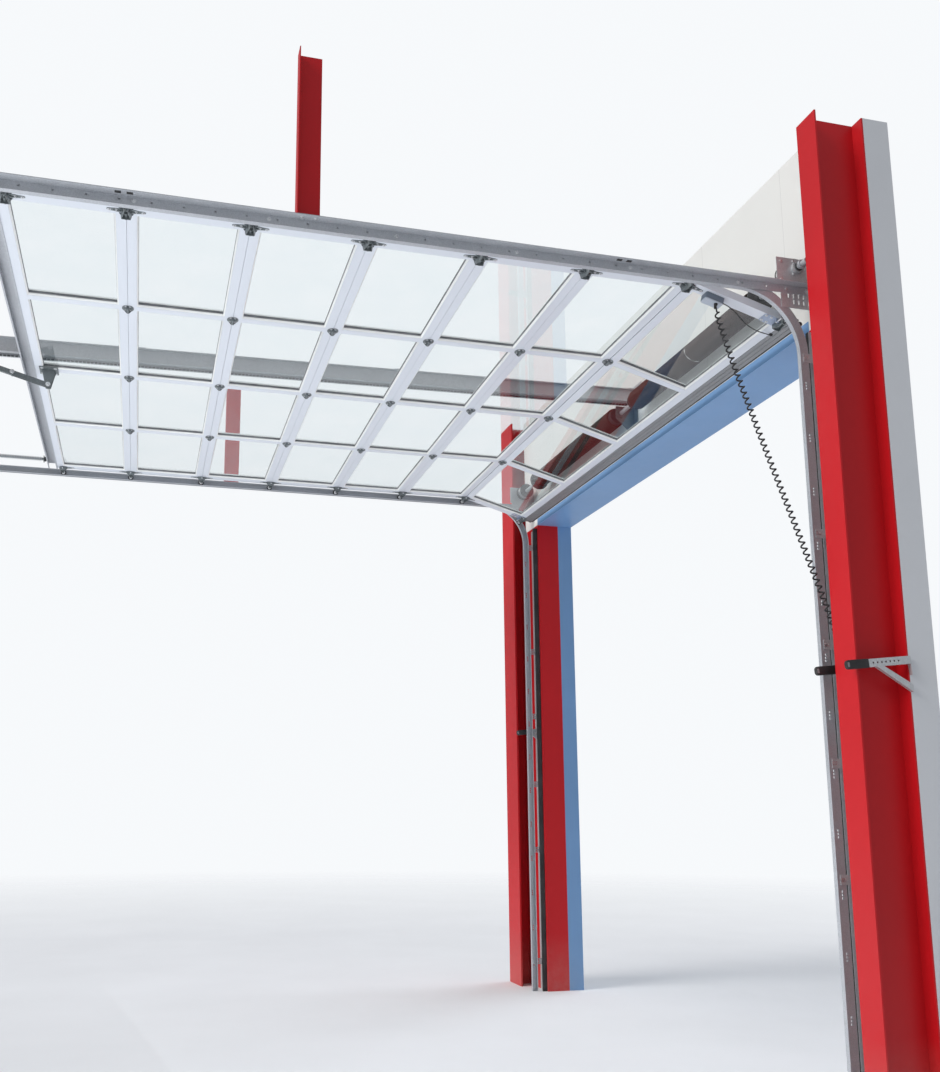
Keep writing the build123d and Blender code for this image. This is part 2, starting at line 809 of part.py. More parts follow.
def rest(x, start, foot, span):
    half, tall = rest_depth / 2, rest_bar / 2
    root = start - rest_reach
    low = -foot - tall
    bar = block(-half, half, root, -rest_tip, -tall, tall)
    base = block(-half, half, root, root + rest_base, low, tall)
    brace = along_x([(root + rest_base, low), (root + rest_base, low + rest_bar),
                     (root + span, -tall), (root + span + rest_bar, -tall)], -half, half)
    holes = []
    y = -rest_tip - rest_hole_pitch
    while y > root + 2 * rest_hole_pitch:
        holes.append(block(-half - 1, half + 1, y - rest_hole / 2, y + rest_hole / 2, -rest_hole / 2,
                           rest_hole / 2))
        y -= rest_hole_pitch
    piece = tilted_rest(x, joined([bar, base, brace]) - holes)
    wall_face = block(x - rest_depth, x + rest_depth, start - column_depth, start, 0, bay_height)
    return piece - wall_face


def rest_places():
    on_wall = wall_inner + angle_wall
    near = near_edge - rest_offset
    return ((near, on_wall, *near_rest_brace), (2 * mid - near, on_wall, *near_rest_brace),
            (-near_flange_width / 2 - rest_depth / 2, -column_depth / 2, *outside_rest_brace))


def rests():
    return [rest(*place) for place in rest_places()]


def rest_tips():
    half, tall = rest_depth / 2, rest_bar / 2 + rest_tip_wall
    points = [(-rest_tip, -tall), (-rest_tip, tall), (-tall, tall), (0, tall / 2), (0, -tall / 2),
              (-tall, -tall)]
    return [tilted_rest(place[0], along_x(points, -half, half)) for place in rest_places()]


def sensor_box():
    x = near_edge + sensor_box_inset
    y = -sensor_box_start
    box = block(x, x + sensor_box_width, y - sensor_box_length, y, face_offset - sensor_box_depth,
                face_offset)
    return on_bottom_section(fillet(box.edges().filter_by(Axis.Z), sensor_box_depth / 5))


def column_box():
    x, half = cord_end_x, cord_box_width / 2
    return block(x - half, x + half, wall_inner, cord_end_y + half - clearance,
                 cord_box_top - cord_box_height, cord_box_top)


def tube(points, diameter):
    corners = [Vector(*point) for point in points]
    edges = []
    radii = []
    start = corners[0]
    for before, corner, after in zip(corners, corners[1:], corners[2:]):
        run_in, run_out = corner - before, after - corner
        inward, outward = run_in.normalized(), run_out.normalized()
        half_turn = radians(inward.get_angle(outward)) / 2
        setback = 0.45 * min(run_in.length, run_out.length)
        radius = setback / tan(half_turn)
        middle = corner + (outward - inward).normalized() * radius * (1 / cos(half_turn) - 1)
        leave = corner - inward * setback
        edges.append(Edge.make_line(start, leave))
        start = corner + outward * setback
        edges.append(Edge.make_three_point_arc(leave, middle, start))
        radii.append(round(radius))
    edges.append(Edge.make_line(start, corners[-1]))
    path = Wire(edges)
    print("arc radii", radii, "length", round(path.length))
    return sweep(Plane(path @ 0, z_dir=path % 0) * Circle(diameter / 2), path)


def coil_cord():
    x = near_edge + cord_start_x
    below = face_offset - sensor_box_depth
    points = [(x, *bottom_point(-cord_start_y, below)),
              (x, *bottom_point(-cord_start_y, below - cord_first_run)),
              (cord_end_x, cord_end_y, cord_box_top + cord_last_run), (cord_end_x, cord_end_y, cord_box_top)]
    return tube(points, cord_diameter)


def edge_lead():
    y = -sensor_box_start - sensor_box_length
    end = face_offset - retainer_lip - lead_diameter / 2
    points = [(near_edge + 34, y, -12), (near_edge + 34, y - 36, -12), (near_edge + 56, -326, -20),
              (near_edge + 88, -378, -20), (near_edge + 117, -428, -18), (near_edge + 136, -480, -15),
              (near_edge + 150, -535, -9), (near_edge + 160, -617, end)]
    return on_bottom_section(tube(points, lead_diameter))


parts = {}
parts["near_column"] = column(0, near_flange_width, near_flange, near_web)
parts["far_column"] = column(far_column_x, far_flange_width, far_flange, far_web)
parts["near_jamb"] = jamb(near_web / 2)
parts["far_jamb"] = opposite(jamb(2 * mid - far_column_x + far_web / 2))
parts["near_outer_wall"] = side_wall(wall_start, near_wall_ribs)
parts["far_outer_wall"] = opposite(side_wall(2 * mid - wall_end, [2 * mid - x for x in far_wall_ribs]))
parts["header_outer_wall"] = header_wall()
parts["header_liner"] = header_liner()
parts["near_jamb_trim"] = jamb_trim()
parts["far_jamb_trim"] = opposite(jamb_trim())
parts["header_trim"] = header_trim()
parts["wall_angles"] = group([wall_angle(), opposite(wall_angle())])
parts["jamb_seals"] = group([jamb_seal(), opposite(jamb_seal())])
for number in range(1, section_count + 1):
    parts[f"section_{number}_frame"] = place_section(number, section_frame(rail_height))
    parts[f"section_{number}_glass"] = place_section(number, section_glass(rail_height))
parts["centre_hinges"] = group(centre_hinges())
near_hinges = end_hinges()
parts["near_end_hinges"] = group(near_hinges)
parts["far_end_hinges"] = group([opposite(piece) for piece in near_hinges])
parts["bottom_retainer"] = bottom_retainer()
parts["bottom_seal"] = bottom_seal()
parts["top_strut"] = top_strut()
parts["near_vertical_track"] = vertical_track()
parts["far_vertical_track"] = opposite(vertical_track())
parts["near_horizontal_track"] = horizontal_track()
parts["far_horizontal_track"] = opposite(horizontal_track())
parts["near_track_angle"] = track_angle()
parts["far_track_angle"] = opposite(track_angle())
clips = [track_clip(height) for height in clip_heights]
parts["track_clips"] = group(clips + [opposite(clip) for clip in clips])
parts["bearing_plates"] = group([bearing_plate(), opposite(bearing_plate())])
parts["torsion_shaft"] = torsion_shaft()
near_spring_end = mid - near_spring_to_middle
far_spring_end = mid - far_spring_to_middle
springs = [spring(near_spring_end - spring_length, near_spring_end),
           opposite(spring(far_spring_end - spring_length, far_spring_end))]
parts["torsion_springs"] = group(springs)
parts["cable_drums"] = group([drum(), opposite(drum())])
parts["centre_bearing"] = centre_bearing()
parts["lift_cables"] = group([lift_cable(), opposite(lift_cable())])
parts["operator_rail"] = operator_rail()
parts["operator_motor"] = operator_motor()
parts["operator_arm"] = operator_arm()
parts["track_hangers"] = group(track_hangers())
parts["motor_hangers"] = group(motor_hangers())
parts["bumpers"] = group([bumper(), opposite(bumper())])
parts["rests"] = group(rests())
parts["rest_tips"] = group(rest_tips())
parts["edge_sensor_box"] = sensor_box()
parts["cord_box"] = column_box()
parts["coil_cord"] = coil_cord()
parts["edge_lead"] = edge_lead()

os.makedirs("parts", exist_ok=True)
for name, shape in parts.items():
    export_step(shape, f"parts/{name}.step")
print(len(parts), "parts, bottom section tilted", round(tilt, 2))
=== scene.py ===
import json
from functools import partial
from math import cos, pi, radians, sin

import bmesh
import bpy
from mathutils import Matrix, Vector


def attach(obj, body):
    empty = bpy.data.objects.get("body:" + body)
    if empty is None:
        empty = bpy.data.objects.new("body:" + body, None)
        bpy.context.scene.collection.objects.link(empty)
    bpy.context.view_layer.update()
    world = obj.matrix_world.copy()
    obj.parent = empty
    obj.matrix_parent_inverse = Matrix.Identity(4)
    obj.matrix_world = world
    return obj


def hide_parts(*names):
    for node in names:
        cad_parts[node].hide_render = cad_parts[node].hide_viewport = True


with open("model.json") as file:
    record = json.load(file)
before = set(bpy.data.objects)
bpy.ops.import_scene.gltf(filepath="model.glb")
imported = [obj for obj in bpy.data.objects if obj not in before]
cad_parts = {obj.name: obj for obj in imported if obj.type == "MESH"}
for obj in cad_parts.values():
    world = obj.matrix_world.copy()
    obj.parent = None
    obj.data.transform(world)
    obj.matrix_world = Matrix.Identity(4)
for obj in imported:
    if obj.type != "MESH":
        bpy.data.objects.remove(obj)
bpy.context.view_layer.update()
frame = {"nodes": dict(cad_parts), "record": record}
nodes = frame["nodes"]
print("frame loaded:", len(nodes), "nodes")

# The camera stands where the photographer stood. Its lens axis is turned towards the door.
cameraPlace = {"at": (-4.619, 3.626, 1.571), "yaw": -14.1, "pitch": 10.2, "lens": 35.4, "shift": (0.06, 0.08)}


def aimed(name, data, place, ahead):
    # A camera or a lamp that looks along a direction.
    thing = bpy.data.objects.new(name, data)
    bpy.context.scene.collection.objects.link(thing)
    thing.location = place
    thing.rotation_mode = "QUATERNION"
    thing.rotation_quaternion = ahead.to_track_quat("-Z", "Y")
    return thing


def makeCamera():
    data = bpy.data.cameras.new("doorCamera")
    data.lens = cameraPlace["lens"]
    data.shift_x, data.shift_y = cameraPlace["shift"]
    yaw, pitch = radians(cameraPlace["yaw"]), radians(cameraPlace["pitch"])
    ahead = Vector((cos(yaw) * cos(pitch), sin(yaw) * cos(pitch), sin(pitch)))
    bpy.context.scene.camera = aimed("doorCamera", data, cameraPlace["at"], ahead)


makeCamera()


# Shader helpers. Numbers and colours are set on a socket, and anything else is linked to it.

def feed(node, values):
    for socket, value in values.items():
        if isinstance(value, (int, float, tuple)):
            node.inputs[socket].default_value = value
        else:
            node.id_data.links.new(value, node.inputs[socket])
    return node


def addNode(tree, kind, values):
    return feed(tree.nodes.new(kind), values)


def ramp(source, stops):
    node = addNode(source.id_data, "ShaderNodeValToRGB", {"Fac": source})
    for element, (place, colour) in zip(node.color_ramp.elements, stops):
        element.position = place
        element.color = (*colour, 1)
    return node.outputs["Color"]


def noise(vector, scale, detail, roughness=0.5):
    values = {"Vector": vector, "Scale": scale, "Detail": detail, "Roughness": roughness}
    return addNode(vector.id_data, "ShaderNodeTexNoise", values).outputs["Fac"]


def calc(operation, first, second=0.0, clamp=False):
    # A sum with one or two sockets, in the tree that they are in.
    tree = (second if isinstance(first, float) else first).id_data
    node = addNode(tree, "ShaderNodeMath", {0: first, 1: second})
    node.operation = operation
    node.use_clamp = clamp
    return node.outputs[0]


plus, minus, times, over = [partial(calc, name) for name in ("ADD", "SUBTRACT", "MULTIPLY", "DIVIDE")]


def mixColour(tree, factor, first, second, blend="MIX"):
    node = tree.nodes.new("ShaderNodeMix")
    node.data_type = "RGBA"
    node.blend_type = blend
    return feed(node, {0: factor, 6: first, 7: second}).outputs[2]


socketKinds = {type(None): "NodeSocketVector", tuple: "NodeSocketColor", float: "NodeSocketFloat"}


def newGroup(name, inputs):
    # Every group gives a colour, a roughness and a height. An input of None is a vector.
    group = bpy.data.node_groups.new(name, "ShaderNodeTree")
    for socketName, value in inputs.items():
        kind = socketKinds[type(value)]
        socket = group.interface.new_socket(name=socketName, in_out="INPUT", socket_type=kind)
        if value is not None:
            socket.default_value = value
    for socketName, kind in (("Colour", tuple), ("Roughness", float), ("Height", float)):
        group.interface.new_socket(name=socketName, in_out="OUTPUT", socket_type=socketKinds[kind])
    return group, group.nodes.new("NodeGroupInput").outputs, group.nodes.new("NodeGroupOutput")


coatLook = {
    "broad": (1.3, 4), "fine": (14.0, 5, 0.6), "peelDetail": 1.0, "dustColour": (0.42, 0.39, 0.35, 1),
    "roughnessSwing": 0.16, "dustRoughness": 0.5,
}


def makeCoatGroup():
    # Sprayed paint: a soft drift of tone, fine peel in the surface, and dust that settles low down.
    group, given, end = newGroup("sprayedCoat", {
        "Vector": None, "Colour": (0.5, 0.5, 0.5, 1), "Drift": 0.08, "Peel Scale": 260.0, "Roughness": 0.3,
        "Dust Height": 0.5, "Dust": 0.25, "Waves": 0.0})
    broad = noise(given["Vector"], *coatLook["broad"])
    fine = noise(given["Vector"], *coatLook["fine"])
    shade = plus(times(minus(broad, 0.5), given["Drift"]), 1.0)
    grey = addNode(group, "ShaderNodeCombineColor", {0: shade, 1: shade, 2: shade}).outputs["Color"]
    toned = mixColour(group, 1.0, given["Colour"], grey, "MULTIPLY")
    height = addNode(group, "ShaderNodeSeparateXYZ", {"Vector": given["Vector"]}).outputs["Z"]
    low = minus(1.0, over(height, given["Dust Height"]), True)
    dust = times(times(low, fine), given["Dust"], True)
    lift = times(minus(fine, 0.5), coatLook["roughnessSwing"])
    dull = times(dust, coatLook["dustRoughness"])
    peel = noise(given["Vector"], given["Peel Scale"], coatLook["peelDetail"])
    feed(end, {
        "Colour": mixColour(group, dust, toned, coatLook["dustColour"]),
        "Roughness": plus(plus(given["Roughness"], lift), dull, True),
        "Height": plus(peel, times(broad, given["Waves"])),
    })
    return group


zincLook = {"bloom": (5.0, 5, 0.6), "toneShare": 0.55, "roughnessSwing": 0.22, "bloomRoughness": 0.1}


def makeZincGroup():
    # Hot dip zinc: flat crystals of slightly different tone and gloss, with a dull bloom over them.
    group, given, end = newGroup("zincCrystals", {
        "Vector": None, "Light": (0.7, 0.72, 0.74, 1), "Dark": (0.45, 0.47, 0.5, 1), "Crystal Scale": 60.0,
        "Roughness": 0.38})
    cells = addNode(group, "ShaderNodeTexVoronoi", {"Scale": given["Crystal Scale"], "Vector": given["Vector"]})
    parts = addNode(group, "ShaderNodeSeparateColor", {"Color": cells.outputs["Color"]}).outputs
    bloom = noise(given["Vector"], *zincLook["bloom"])
    share = zincLook["toneShare"]
    tone = plus(times(parts[0], share), times(bloom, share), True)
    spread = times(minus(parts[1], 0.5), zincLook["roughnessSwing"])
    dull = times(bloom, zincLook["bloomRoughness"])
    feed(end, {
        "Colour": mixColour(group, tone, given["Dark"], given["Light"]),
        "Roughness": plus(plus(given["Roughness"], spread), dull, True),
        "Height": bloom,
    })
    return group


coatGroup = makeCoatGroup()
zincGroup = makeZincGroup()
surfaceLook = {"bumpDepth": 0.002, "rubberDepth": 0.001, "rubberBump": 0.15, "coatRoughness": 0.12}


def newMaterial(name):
    material = bpy.data.materials.new(name)
    material.use_nodes = True
    nodes = material.node_tree.nodes
    return material, nodes["Principled BSDF"], nodes.new("ShaderNodeTexCoord").outputs["Object"]


def bump(shader, height, strength, distance):
    values = {"Strength": strength, "Distance": distance, "Height": height}
    feed(shader, {"Normal": addNode(shader.id_data, "ShaderNodeBump", values).outputs["Normal"]})


def groupMaterial(name, group, values, strength, own):
    # A material whose colour, roughness and height come from a group; own goes on the shader itself.
    material, shader, place = newMaterial(name)
    node = material.node_tree.nodes.new("ShaderNodeGroup")
    node.node_tree = group
    given = feed(node, {"Vector": place, **values}).outputs
    feed(shader, {"Base Color": given["Colour"], "Roughness": given["Roughness"], **own})
    bump(shader, given["Height"], strength, surfaceLook["bumpDepth"])
    return material


def paintMaterial(name, colour, roughness, coat=0.0, drift=0.1, peel=260.0, dust=0.0, strength=0.05,
                  gloss=0.5, waves=0.0):
    values = {"Colour": (*colour, 1), "Drift": drift, "Peel Scale": peel, "Roughness": roughness,
              "Dust": dust, "Waves": waves}
    own = {"Coat Weight": coat, "Coat Roughness": surfaceLook["coatRoughness"], "Specular IOR Level": gloss}
    return groupMaterial(name, coatGroup, values, strength, own)


def zincMaterial(name, light, dark, crystals, roughness, metallic, strength=0.12):
    values = {"Light": (*light, 1), "Dark": (*dark, 1), "Crystal Scale": crystals, "Roughness": roughness}
    return groupMaterial(name, zincGroup, values, strength, {"Metallic": metallic})


glassLook = {
    "smear": (2.2, 6, 0.65), "colours": [(0.3, (0.93, 0.965, 0.97)), (0.75, (0.88, 0.935, 0.945))],
    "film": [(0.45, (0.0, 0.0, 0.0)), (0.85, (0.07, 0.07, 0.07))],
    "own": {"Transmission Weight": 1.0, "IOR": 1.45},
}


def glassMaterial():
    material, shader, place = newMaterial("doorGlass")
    smear = noise(place, *glassLook["smear"])
    colour, film = ramp(smear, glassLook["colours"]), ramp(smear, glassLook["film"])
    feed(shader, {"Base Color": colour, "Roughness": film, **glassLook["own"]})
    return material


def rubberMaterial(name, colour, roughness, scale=180.0):
    material, shader, place = newMaterial(name)
    grain = noise(place, scale, 4, 0.6)
    bloom = noise(place, 6.0, 4, 0.6)
    light = tuple(min(1.0, part * 1.9 + 0.02) for part in colour)
    shade = plus(times(bloom, 0.2), roughness - 0.1, True)
    feed(shader, {"Base Color": ramp(bloom, [(0.35, colour), (0.8, light)]), "Roughness": shade})
    bump(shader, grain, surfaceLook["rubberBump"], surfaceLook["rubberDepth"])
    return material


def addMarks(material, colour, maskOf):
    # Lays a colour over the material's own where the mask, made from the place on the piece, is 1.
    tree = material.node_tree
    base = tree.nodes["Principled BSDF"].inputs["Base Color"]
    place = tree.nodes["Texture Coordinate"].outputs["Object"]
    parts = addNode(tree, "ShaderNodeSeparateXYZ", {"Vector": place}).outputs
    mask = maskOf(*parts)
    tree.links.new(mixColour(tree, mask, base.links[0].from_socket, (*colour, 1)), base)
    return material


# The liner's sheets meet in thin upright joints. The width is a share of the pitch.
linerSeam = {"pitch": 0.9144, "halfWidth": 0.0022, "strength": 0.45}


def seamMask(x, y, z):
    turn = calc("FRACT", over(x, linerSeam["pitch"]))
    line = calc("LESS_THAN", calc("ABSOLUTE", minus(turn, 0.5)), linerSeam["halfWidth"])
    return times(line, linerSeam["strength"])


# A stripe brushed along the near spring, which winding it up has turned into a screw line.
shaftAt = (0.134, 4.598)
springStripe = {"middle": 1.33, "reach": 0.05, "lead": 0.11, "start": 0.614, "halfWidth": 0.022, "strength": 0.85}


def stripeMask(x, y, z):
    around = calc("ARCTAN2", minus(z, shaftAt[1]), minus(y, shaftAt[0]))
    along = minus(x, springStripe["middle"])
    turn = minus(over(around, 2 * pi), over(along, springStripe["lead"]))
    away = minus(calc("FRACT", plus(turn, springStripe["start"])), 0.5)
    stripe = calc("LESS_THAN", calc("ABSOLUTE", away), springStripe["halfWidth"])
    near = calc("LESS_THAN", calc("ABSOLUTE", along), springStripe["reach"])
    return times(times(stripe, near), springStripe["strength"])


redPaint = paintMaterial("redEnamel", (0.5, 0.007, 0.012), 0.42, drift=0.18, peel=240.0, dust=0.3, gloss=0.32)
# The trim's strong blue is partly its own pale paint and partly painted light: the blue cast of the sky on it.
skyTintedTrimPaint = paintMaterial("skyTintedTrimPaint", (0.16, 0.31, 0.55), 0.4, 0.1, 0.3, 160.0, 0.2, waves=14.0)
panelPaint = paintMaterial("panelPaint", (0.6, 0.62, 0.65), 0.5, peel=120.0, dust=0.3)
linerPaint = addMarks(paintMaterial("linerPaint", (0.78, 0.78, 0.76), 0.55, drift=0.07, peel=90.0, dust=0.1),
                      (0.45, 0.45, 0.45), seamMask)
leafCoat = paintMaterial("leafCoat", (0.68, 0.72, 0.78), 0.33, 0.1, 0.06, 300.0)
boxPlastic = paintMaterial("boxPlastic", (0.16, 0.2, 0.25), 0.5, peel=500.0, strength=0.12)
zincSteel = zincMaterial("zincSteel", (0.6, 0.62, 0.64), (0.45, 0.465, 0.485), 150.0, 0.42, 0.5)
trackZinc = zincMaterial("trackZinc", (0.55, 0.57, 0.6), (0.39, 0.41, 0.44), 240.0, 0.4, 0.5)
plateZinc = zincMaterial("plateZinc", (0.46, 0.53, 0.66), (0.3, 0.36, 0.48), 120.0, 0.36, 0.65)
edgeAlloy = zincMaterial("edgeAlloy", (0.36, 0.37, 0.38), (0.24, 0.25, 0.26), 300.0, 0.45, 0.6)
darkZinc = zincMaterial("darkZinc", (0.27, 0.3, 0.31), (0.11, 0.125, 0.13), 240.0, 0.42, 0.6)
oiledSteel = zincMaterial("oiledSteel", (0.075, 0.055, 0.05), (0.022, 0.018, 0.018), 150.0, 0.4, 0.6)
springSteel = addMarks(zincMaterial("springSteel", (0.085, 0.055, 0.048), (0.028, 0.02, 0.02), 150.0, 0.4, 0.6),
                       (0.72, 0.72, 0.7), stripeMask)
wireSteel = zincMaterial("wireSteel", (0.5, 0.5, 0.5), (0.2, 0.2, 0.21), 700.0, 0.4, 0.9)
doorGlass = glassMaterial()
blackRubber = rubberMaterial("blackRubber", (0.012, 0.012, 0.013), 0.6)
cordRubber = rubberMaterial("cordRubber", (0.008, 0.008, 0.009), 0.42, 400.0)
boltZinc = zincMaterial("boltZinc", (0.8, 0.81, 0.82), (0.52, 0.54, 0.56), 300.0, 0.3, 0.9)
castIron = zincMaterial("castIron", (0.13, 0.135, 0.14), (0.045, 0.045, 0.05), 380.0, 0.5, 0.6, 0.25)
beadCoat = paintMaterial("beadCoat", (0.86, 0.87, 0.86), 0.3, 0.1, 0.05, 300.0)
lidPlastic = paintMaterial("lidPlastic", (0.42, 0.47, 0.54), 0.42, peel=500.0, strength=0.12)
wornRubber = rubberMaterial("wornRubber", (0.16, 0.16, 0.17), 0.65)
print("materials made:", len(bpy.data.materials))

# The opening lies even about its middle. Six of the leaf's sections are level, and the first is
# tilted about its joint with the second.
door = {"middle": 2.4136, "section": 0.6096, "panePitch": 1.0418, "tilt": 16.1, "pivot": (0.755, 4.465)}


def moved(x, y, z):
    return Matrix.Translation((x, y, z))


def turn(axis, angle):
    return Matrix.Rotation(radians(angle), 4, axis)


def flip(axis):
    return Matrix.Scale(-1, 4, [1 if name == axis else 0 for name in "XYZ"])


farMirror = moved(2 * door["middle"], 0, 0) @ flip("X")
tiltPlace = moved(0, *door["pivot"]) @ turn("X", door["tilt"])

# Cords: both follow their own spline, laid through the points of the part's source in metres.


def bottomPoint(along, off):
    angle = radians(door["tilt"])
    y, z = door["pivot"]
    return y + along * cos(angle) - off * sin(angle), z + along * sin(angle) + off * cos(angle)


coilCord = {
    "route": [(0.322, *bottomPoint(-0.188, -0.025)), (0.322, *bottomPoint(-0.188, -0.103)),
              (0.06, 0.046, 2.22), (0.06, 0.046, 2.11)],
    "wire": 0.0092, "turnRadius": 0.0132, "pitch": 0.036, "straightStart": 0.045, "straightEnd": 0.04,
    "pointsEachTurn": 14, "easeIn": 0.4,
}
edgeLead = {
    "route": [(0.314, -0.225, -0.012), (0.314, -0.261, -0.012), (0.336, -0.326, -0.02), (0.368, -0.378, -0.02),
              (0.397, -0.428, -0.018), (0.416, -0.48, -0.015), (0.43, -0.535, -0.009), (0.44, -0.617, 0.009)],
    "wire": 0.006,
}


def splineCurve(name, points, thickness, stepsEach):
    data = bpy.data.curves.new(name, "CURVE")
    data.dimensions = "3D"
    data.resolution_u = stepsEach
    data.bevel_depth = thickness / 2
    data.bevel_resolution = 2
    data.use_fill_caps = True
    spline = data.splines.new("NURBS")
    spline.points.add(len(points) - 1)
    for point, place in zip(spline.points, points):
        point.co = (*place, 1)
    spline.order_u = 3
    spline.use_endpoint_u = True
    curve = bpy.data.objects.new(name, data)
    bpy.context.scene.collection.objects.link(curve)
    return curve


def followedPoints(points):
    # The line of a spline through the points, read back from Blender.
    curve = splineCurve("followed", points, 0, 64)
    bpy.context.view_layer.update()
    mesh = bpy.data.meshes.new_from_object(curve)
    places = [vertex.co.copy() for vertex in mesh.vertices]
    bpy.data.objects.remove(curve)
    bpy.data.meshes.remove(mesh)
    return places


def lineLength(places):
    return sum((after - before).length for before, after in zip(places, places[1:]))


def turnsAround(places, cord):
    total, pitch = lineLength(places), cord["pitch"]
    start, end = cord["straightStart"], cord["straightEnd"]
    count = int((total - start - end) / pitch * cord["pointsEachTurn"])
    step = (total - start - end) / count
    marks = [0.0, start / 2] + [start + step * index for index in range(count + 1)] + [total - end / 2, total]
    found, travelled, index = [], 0.0, 0
    side = Vector((1, 0, 0))
    for mark in marks:
        while index < len(places) - 2 and travelled + (places[index + 1] - places[index]).length < mark:
            travelled += (places[index + 1] - places[index]).length
            index += 1
        run = places[index + 1] - places[index]
        ahead = run.normalized()
        centre = places[index] + ahead * min(mark - travelled, run.length)
        side = (side - ahead * side.dot(ahead)).normalized()
        inCoil = min(mark - start, total - end - mark)
        reach = cord["turnRadius"] * max(0.0, min(1.0, inCoil / (pitch * cord["easeIn"])))
        angle = 2 * pi * (mark - start) / pitch
        found.append(centre + (side * cos(angle) + ahead.cross(side) * sin(angle)) * reach)
    return found


def fitCord(name, node, points, stepsEach, cord):
    curve = splineCurve(name, points, cord["wire"], stepsEach)
    curve.data.materials.append(cordRubber)
    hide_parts(node)
    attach(curve, "root")
    lineLength(followedPoints(points))


def makeCords():
    route = coilCord["route"]
    turns = turnsAround(followedPoints(route), coilCord)
    fitCord("coilCordTurns", "coil_cord", turns, 2, coilCord)
    route = [(x, *bottomPoint(along, off)) for x, along, off in edgeLead["route"]]
    fitCord("edgeLeadWire", "edge_lead", route, 12, edgeLead)


makeCords()
print("cords made")


# Making helpers: each piece starts from a primitive at its size and place, and is shaped in edit mode.

def clearSelection():
    bpy.ops.object.select_all(action="DESELECT")


def only(piece):
    clearSelection()
    piece.select_set(True)
    bpy.context.view_layer.objects.active = piece


def settled():
    piece = bpy.context.object
    only(piece)
    bpy.ops.object.transform_apply(location=True, rotation=True, scale=True)
    return piece


def slab(low, high):
    clearSelection()
    bpy.ops.mesh.primitive_cube_add(size=1, location=[(a + b) / 2 for a, b in zip(low, high)])
    bpy.context.object.scale = [b - a for a, b in zip(low, high)]
    return settled()


def roundBar(start, end, radius, at=(0, 0), sides=24, axis="x"):
    clearSelection()
    middle = (start + end) / 2
    spin, place = {"x": ((0, pi / 2, 0), (middle, *at)), "y": ((pi / 2, 0, 0), (at[0], middle, at[1])),
                   "z": ((0, 0, 0), (*at, middle))}[axis]
    bpy.ops.mesh.primitive_cylinder_add(vertices=sides, radius=radius, depth=end - start, location=place,
                                        rotation=spin)
    return settled()


def placeAndRun(item):
    # Where a face, edge or vertex is, with the face's or vertex's normal or the edge's direction.
    if isinstance(item, bmesh.types.BMFace):
        return item.calc_center_median(), item.normal
    if isinstance(item, bmesh.types.BMEdge):
        first, last = [vertex.co for vertex in item.verts]
        return (first + last) / 2, (last - first).normalized()
    return item.co, item.normal


def pick(piece, mode, test):
    # Goes into edit mode and selects the faces, edges or vertices that pass the test.
    only(piece)
    bpy.ops.object.mode_set(mode="EDIT")
    bpy.ops.mesh.select_mode(type=mode)
    bpy.ops.mesh.select_all(action="DESELECT")
    shape = bmesh.from_edit_mesh(piece.data)
    for item in {"FACE": shape.faces, "EDGE": shape.edges, "VERT": shape.verts}[mode]:
        if test(*placeAndRun(item)):
            item.select_set(True)
    shape.select_flush_mode()
    bmesh.update_edit_mesh(piece.data)


def done(piece, closed=False):
    # Leaves edit mode. A closed piece first has its seams joined and its faces turned outwards.
    if closed:
        bpy.ops.mesh.select_all(action="SELECT")
        bpy.ops.mesh.remove_doubles(threshold=0.00001)
        bpy.ops.mesh.normals_make_consistent(inside=False)
    bpy.ops.object.mode_set(mode="OBJECT")
    return piece


def shifted(piece, test, value):
    pick(piece, "VERT", lambda place, normal: test(place))
    bpy.ops.transform.translate(value=value)
    return done(piece)


def resized(piece, test, value, centre):
    pick(piece, "VERT", lambda place, normal: test(place))
    bpy.ops.transform.resize(value=value, center_override=centre)
    return done(piece)


def rounded(piece, axis, width, segments, test=lambda place: True):
    # Rounds the corners whose edges run along one axis.
    pick(piece, "EDGE", lambda place, run: abs(getattr(run, axis)) > 0.9 and test(place))
    bpy.ops.mesh.bevel(offset=width, segments=segments, affect="EDGES")
    return done(piece)


def applied(piece, kind, **settings):
    only(piece)
    modifier = piece.modifiers.new(kind, kind)
    for name, value in settings.items():
        setattr(modifier, name, value)
    bpy.ops.object.modifier_apply(modifier=modifier.name)
    return piece


def softened(piece, width, segments=2, angle=35):
    return applied(piece, "BEVEL", width=width, segments=segments, limit_method="ANGLE",
                   angle_limit=radians(angle), harden_normals=False)


def turned(profile, at=(0, 0), sides=32):
    # A solid turned about a line along X: the first circle is extruded and resized at each step.
    x0, radius = profile[0]
    clearSelection()
    bpy.ops.mesh.primitive_circle_add(vertices=sides, radius=radius, fill_type="NGON", location=(x0, *at),
                                      rotation=(0, pi / 2, 0))
    piece = settled()
    pick(piece, "FACE", lambda centre, normal: True)
    for x, size in profile[1:]:
        bpy.ops.mesh.extrude_region_move(TRANSFORM_OT_translate={"value": (x - x0, 0, 0)})
        bpy.ops.transform.resize(value=(1, size / radius, size / radius), center_override=(x, *at))
        x0, radius = x, size
    return done(piece, True)


def painted(piece, finish):
    piece.data.materials.clear()
    piece.data.materials.append(finish)
    return piece


def block(low, high, finish, soft=None, corner=None, test=lambda place: True):
    # A slab in its finish, with its corners rounded along one axis and then all its edges softened.
    piece = slab(low, high)
    if corner:
        rounded(piece, *corner, test)
    return painted(softened(piece, *soft) if soft else piece, finish)


def placed(piece, place):
    piece.data.transform(place)
    return piece


def merged(pieces):
    clearSelection()
    for piece in pieces:
        piece.select_set(True)
    bpy.context.view_layer.objects.active = pieces[0]
    if len(pieces) > 1:
        bpy.ops.object.join()
    return pieces[0]


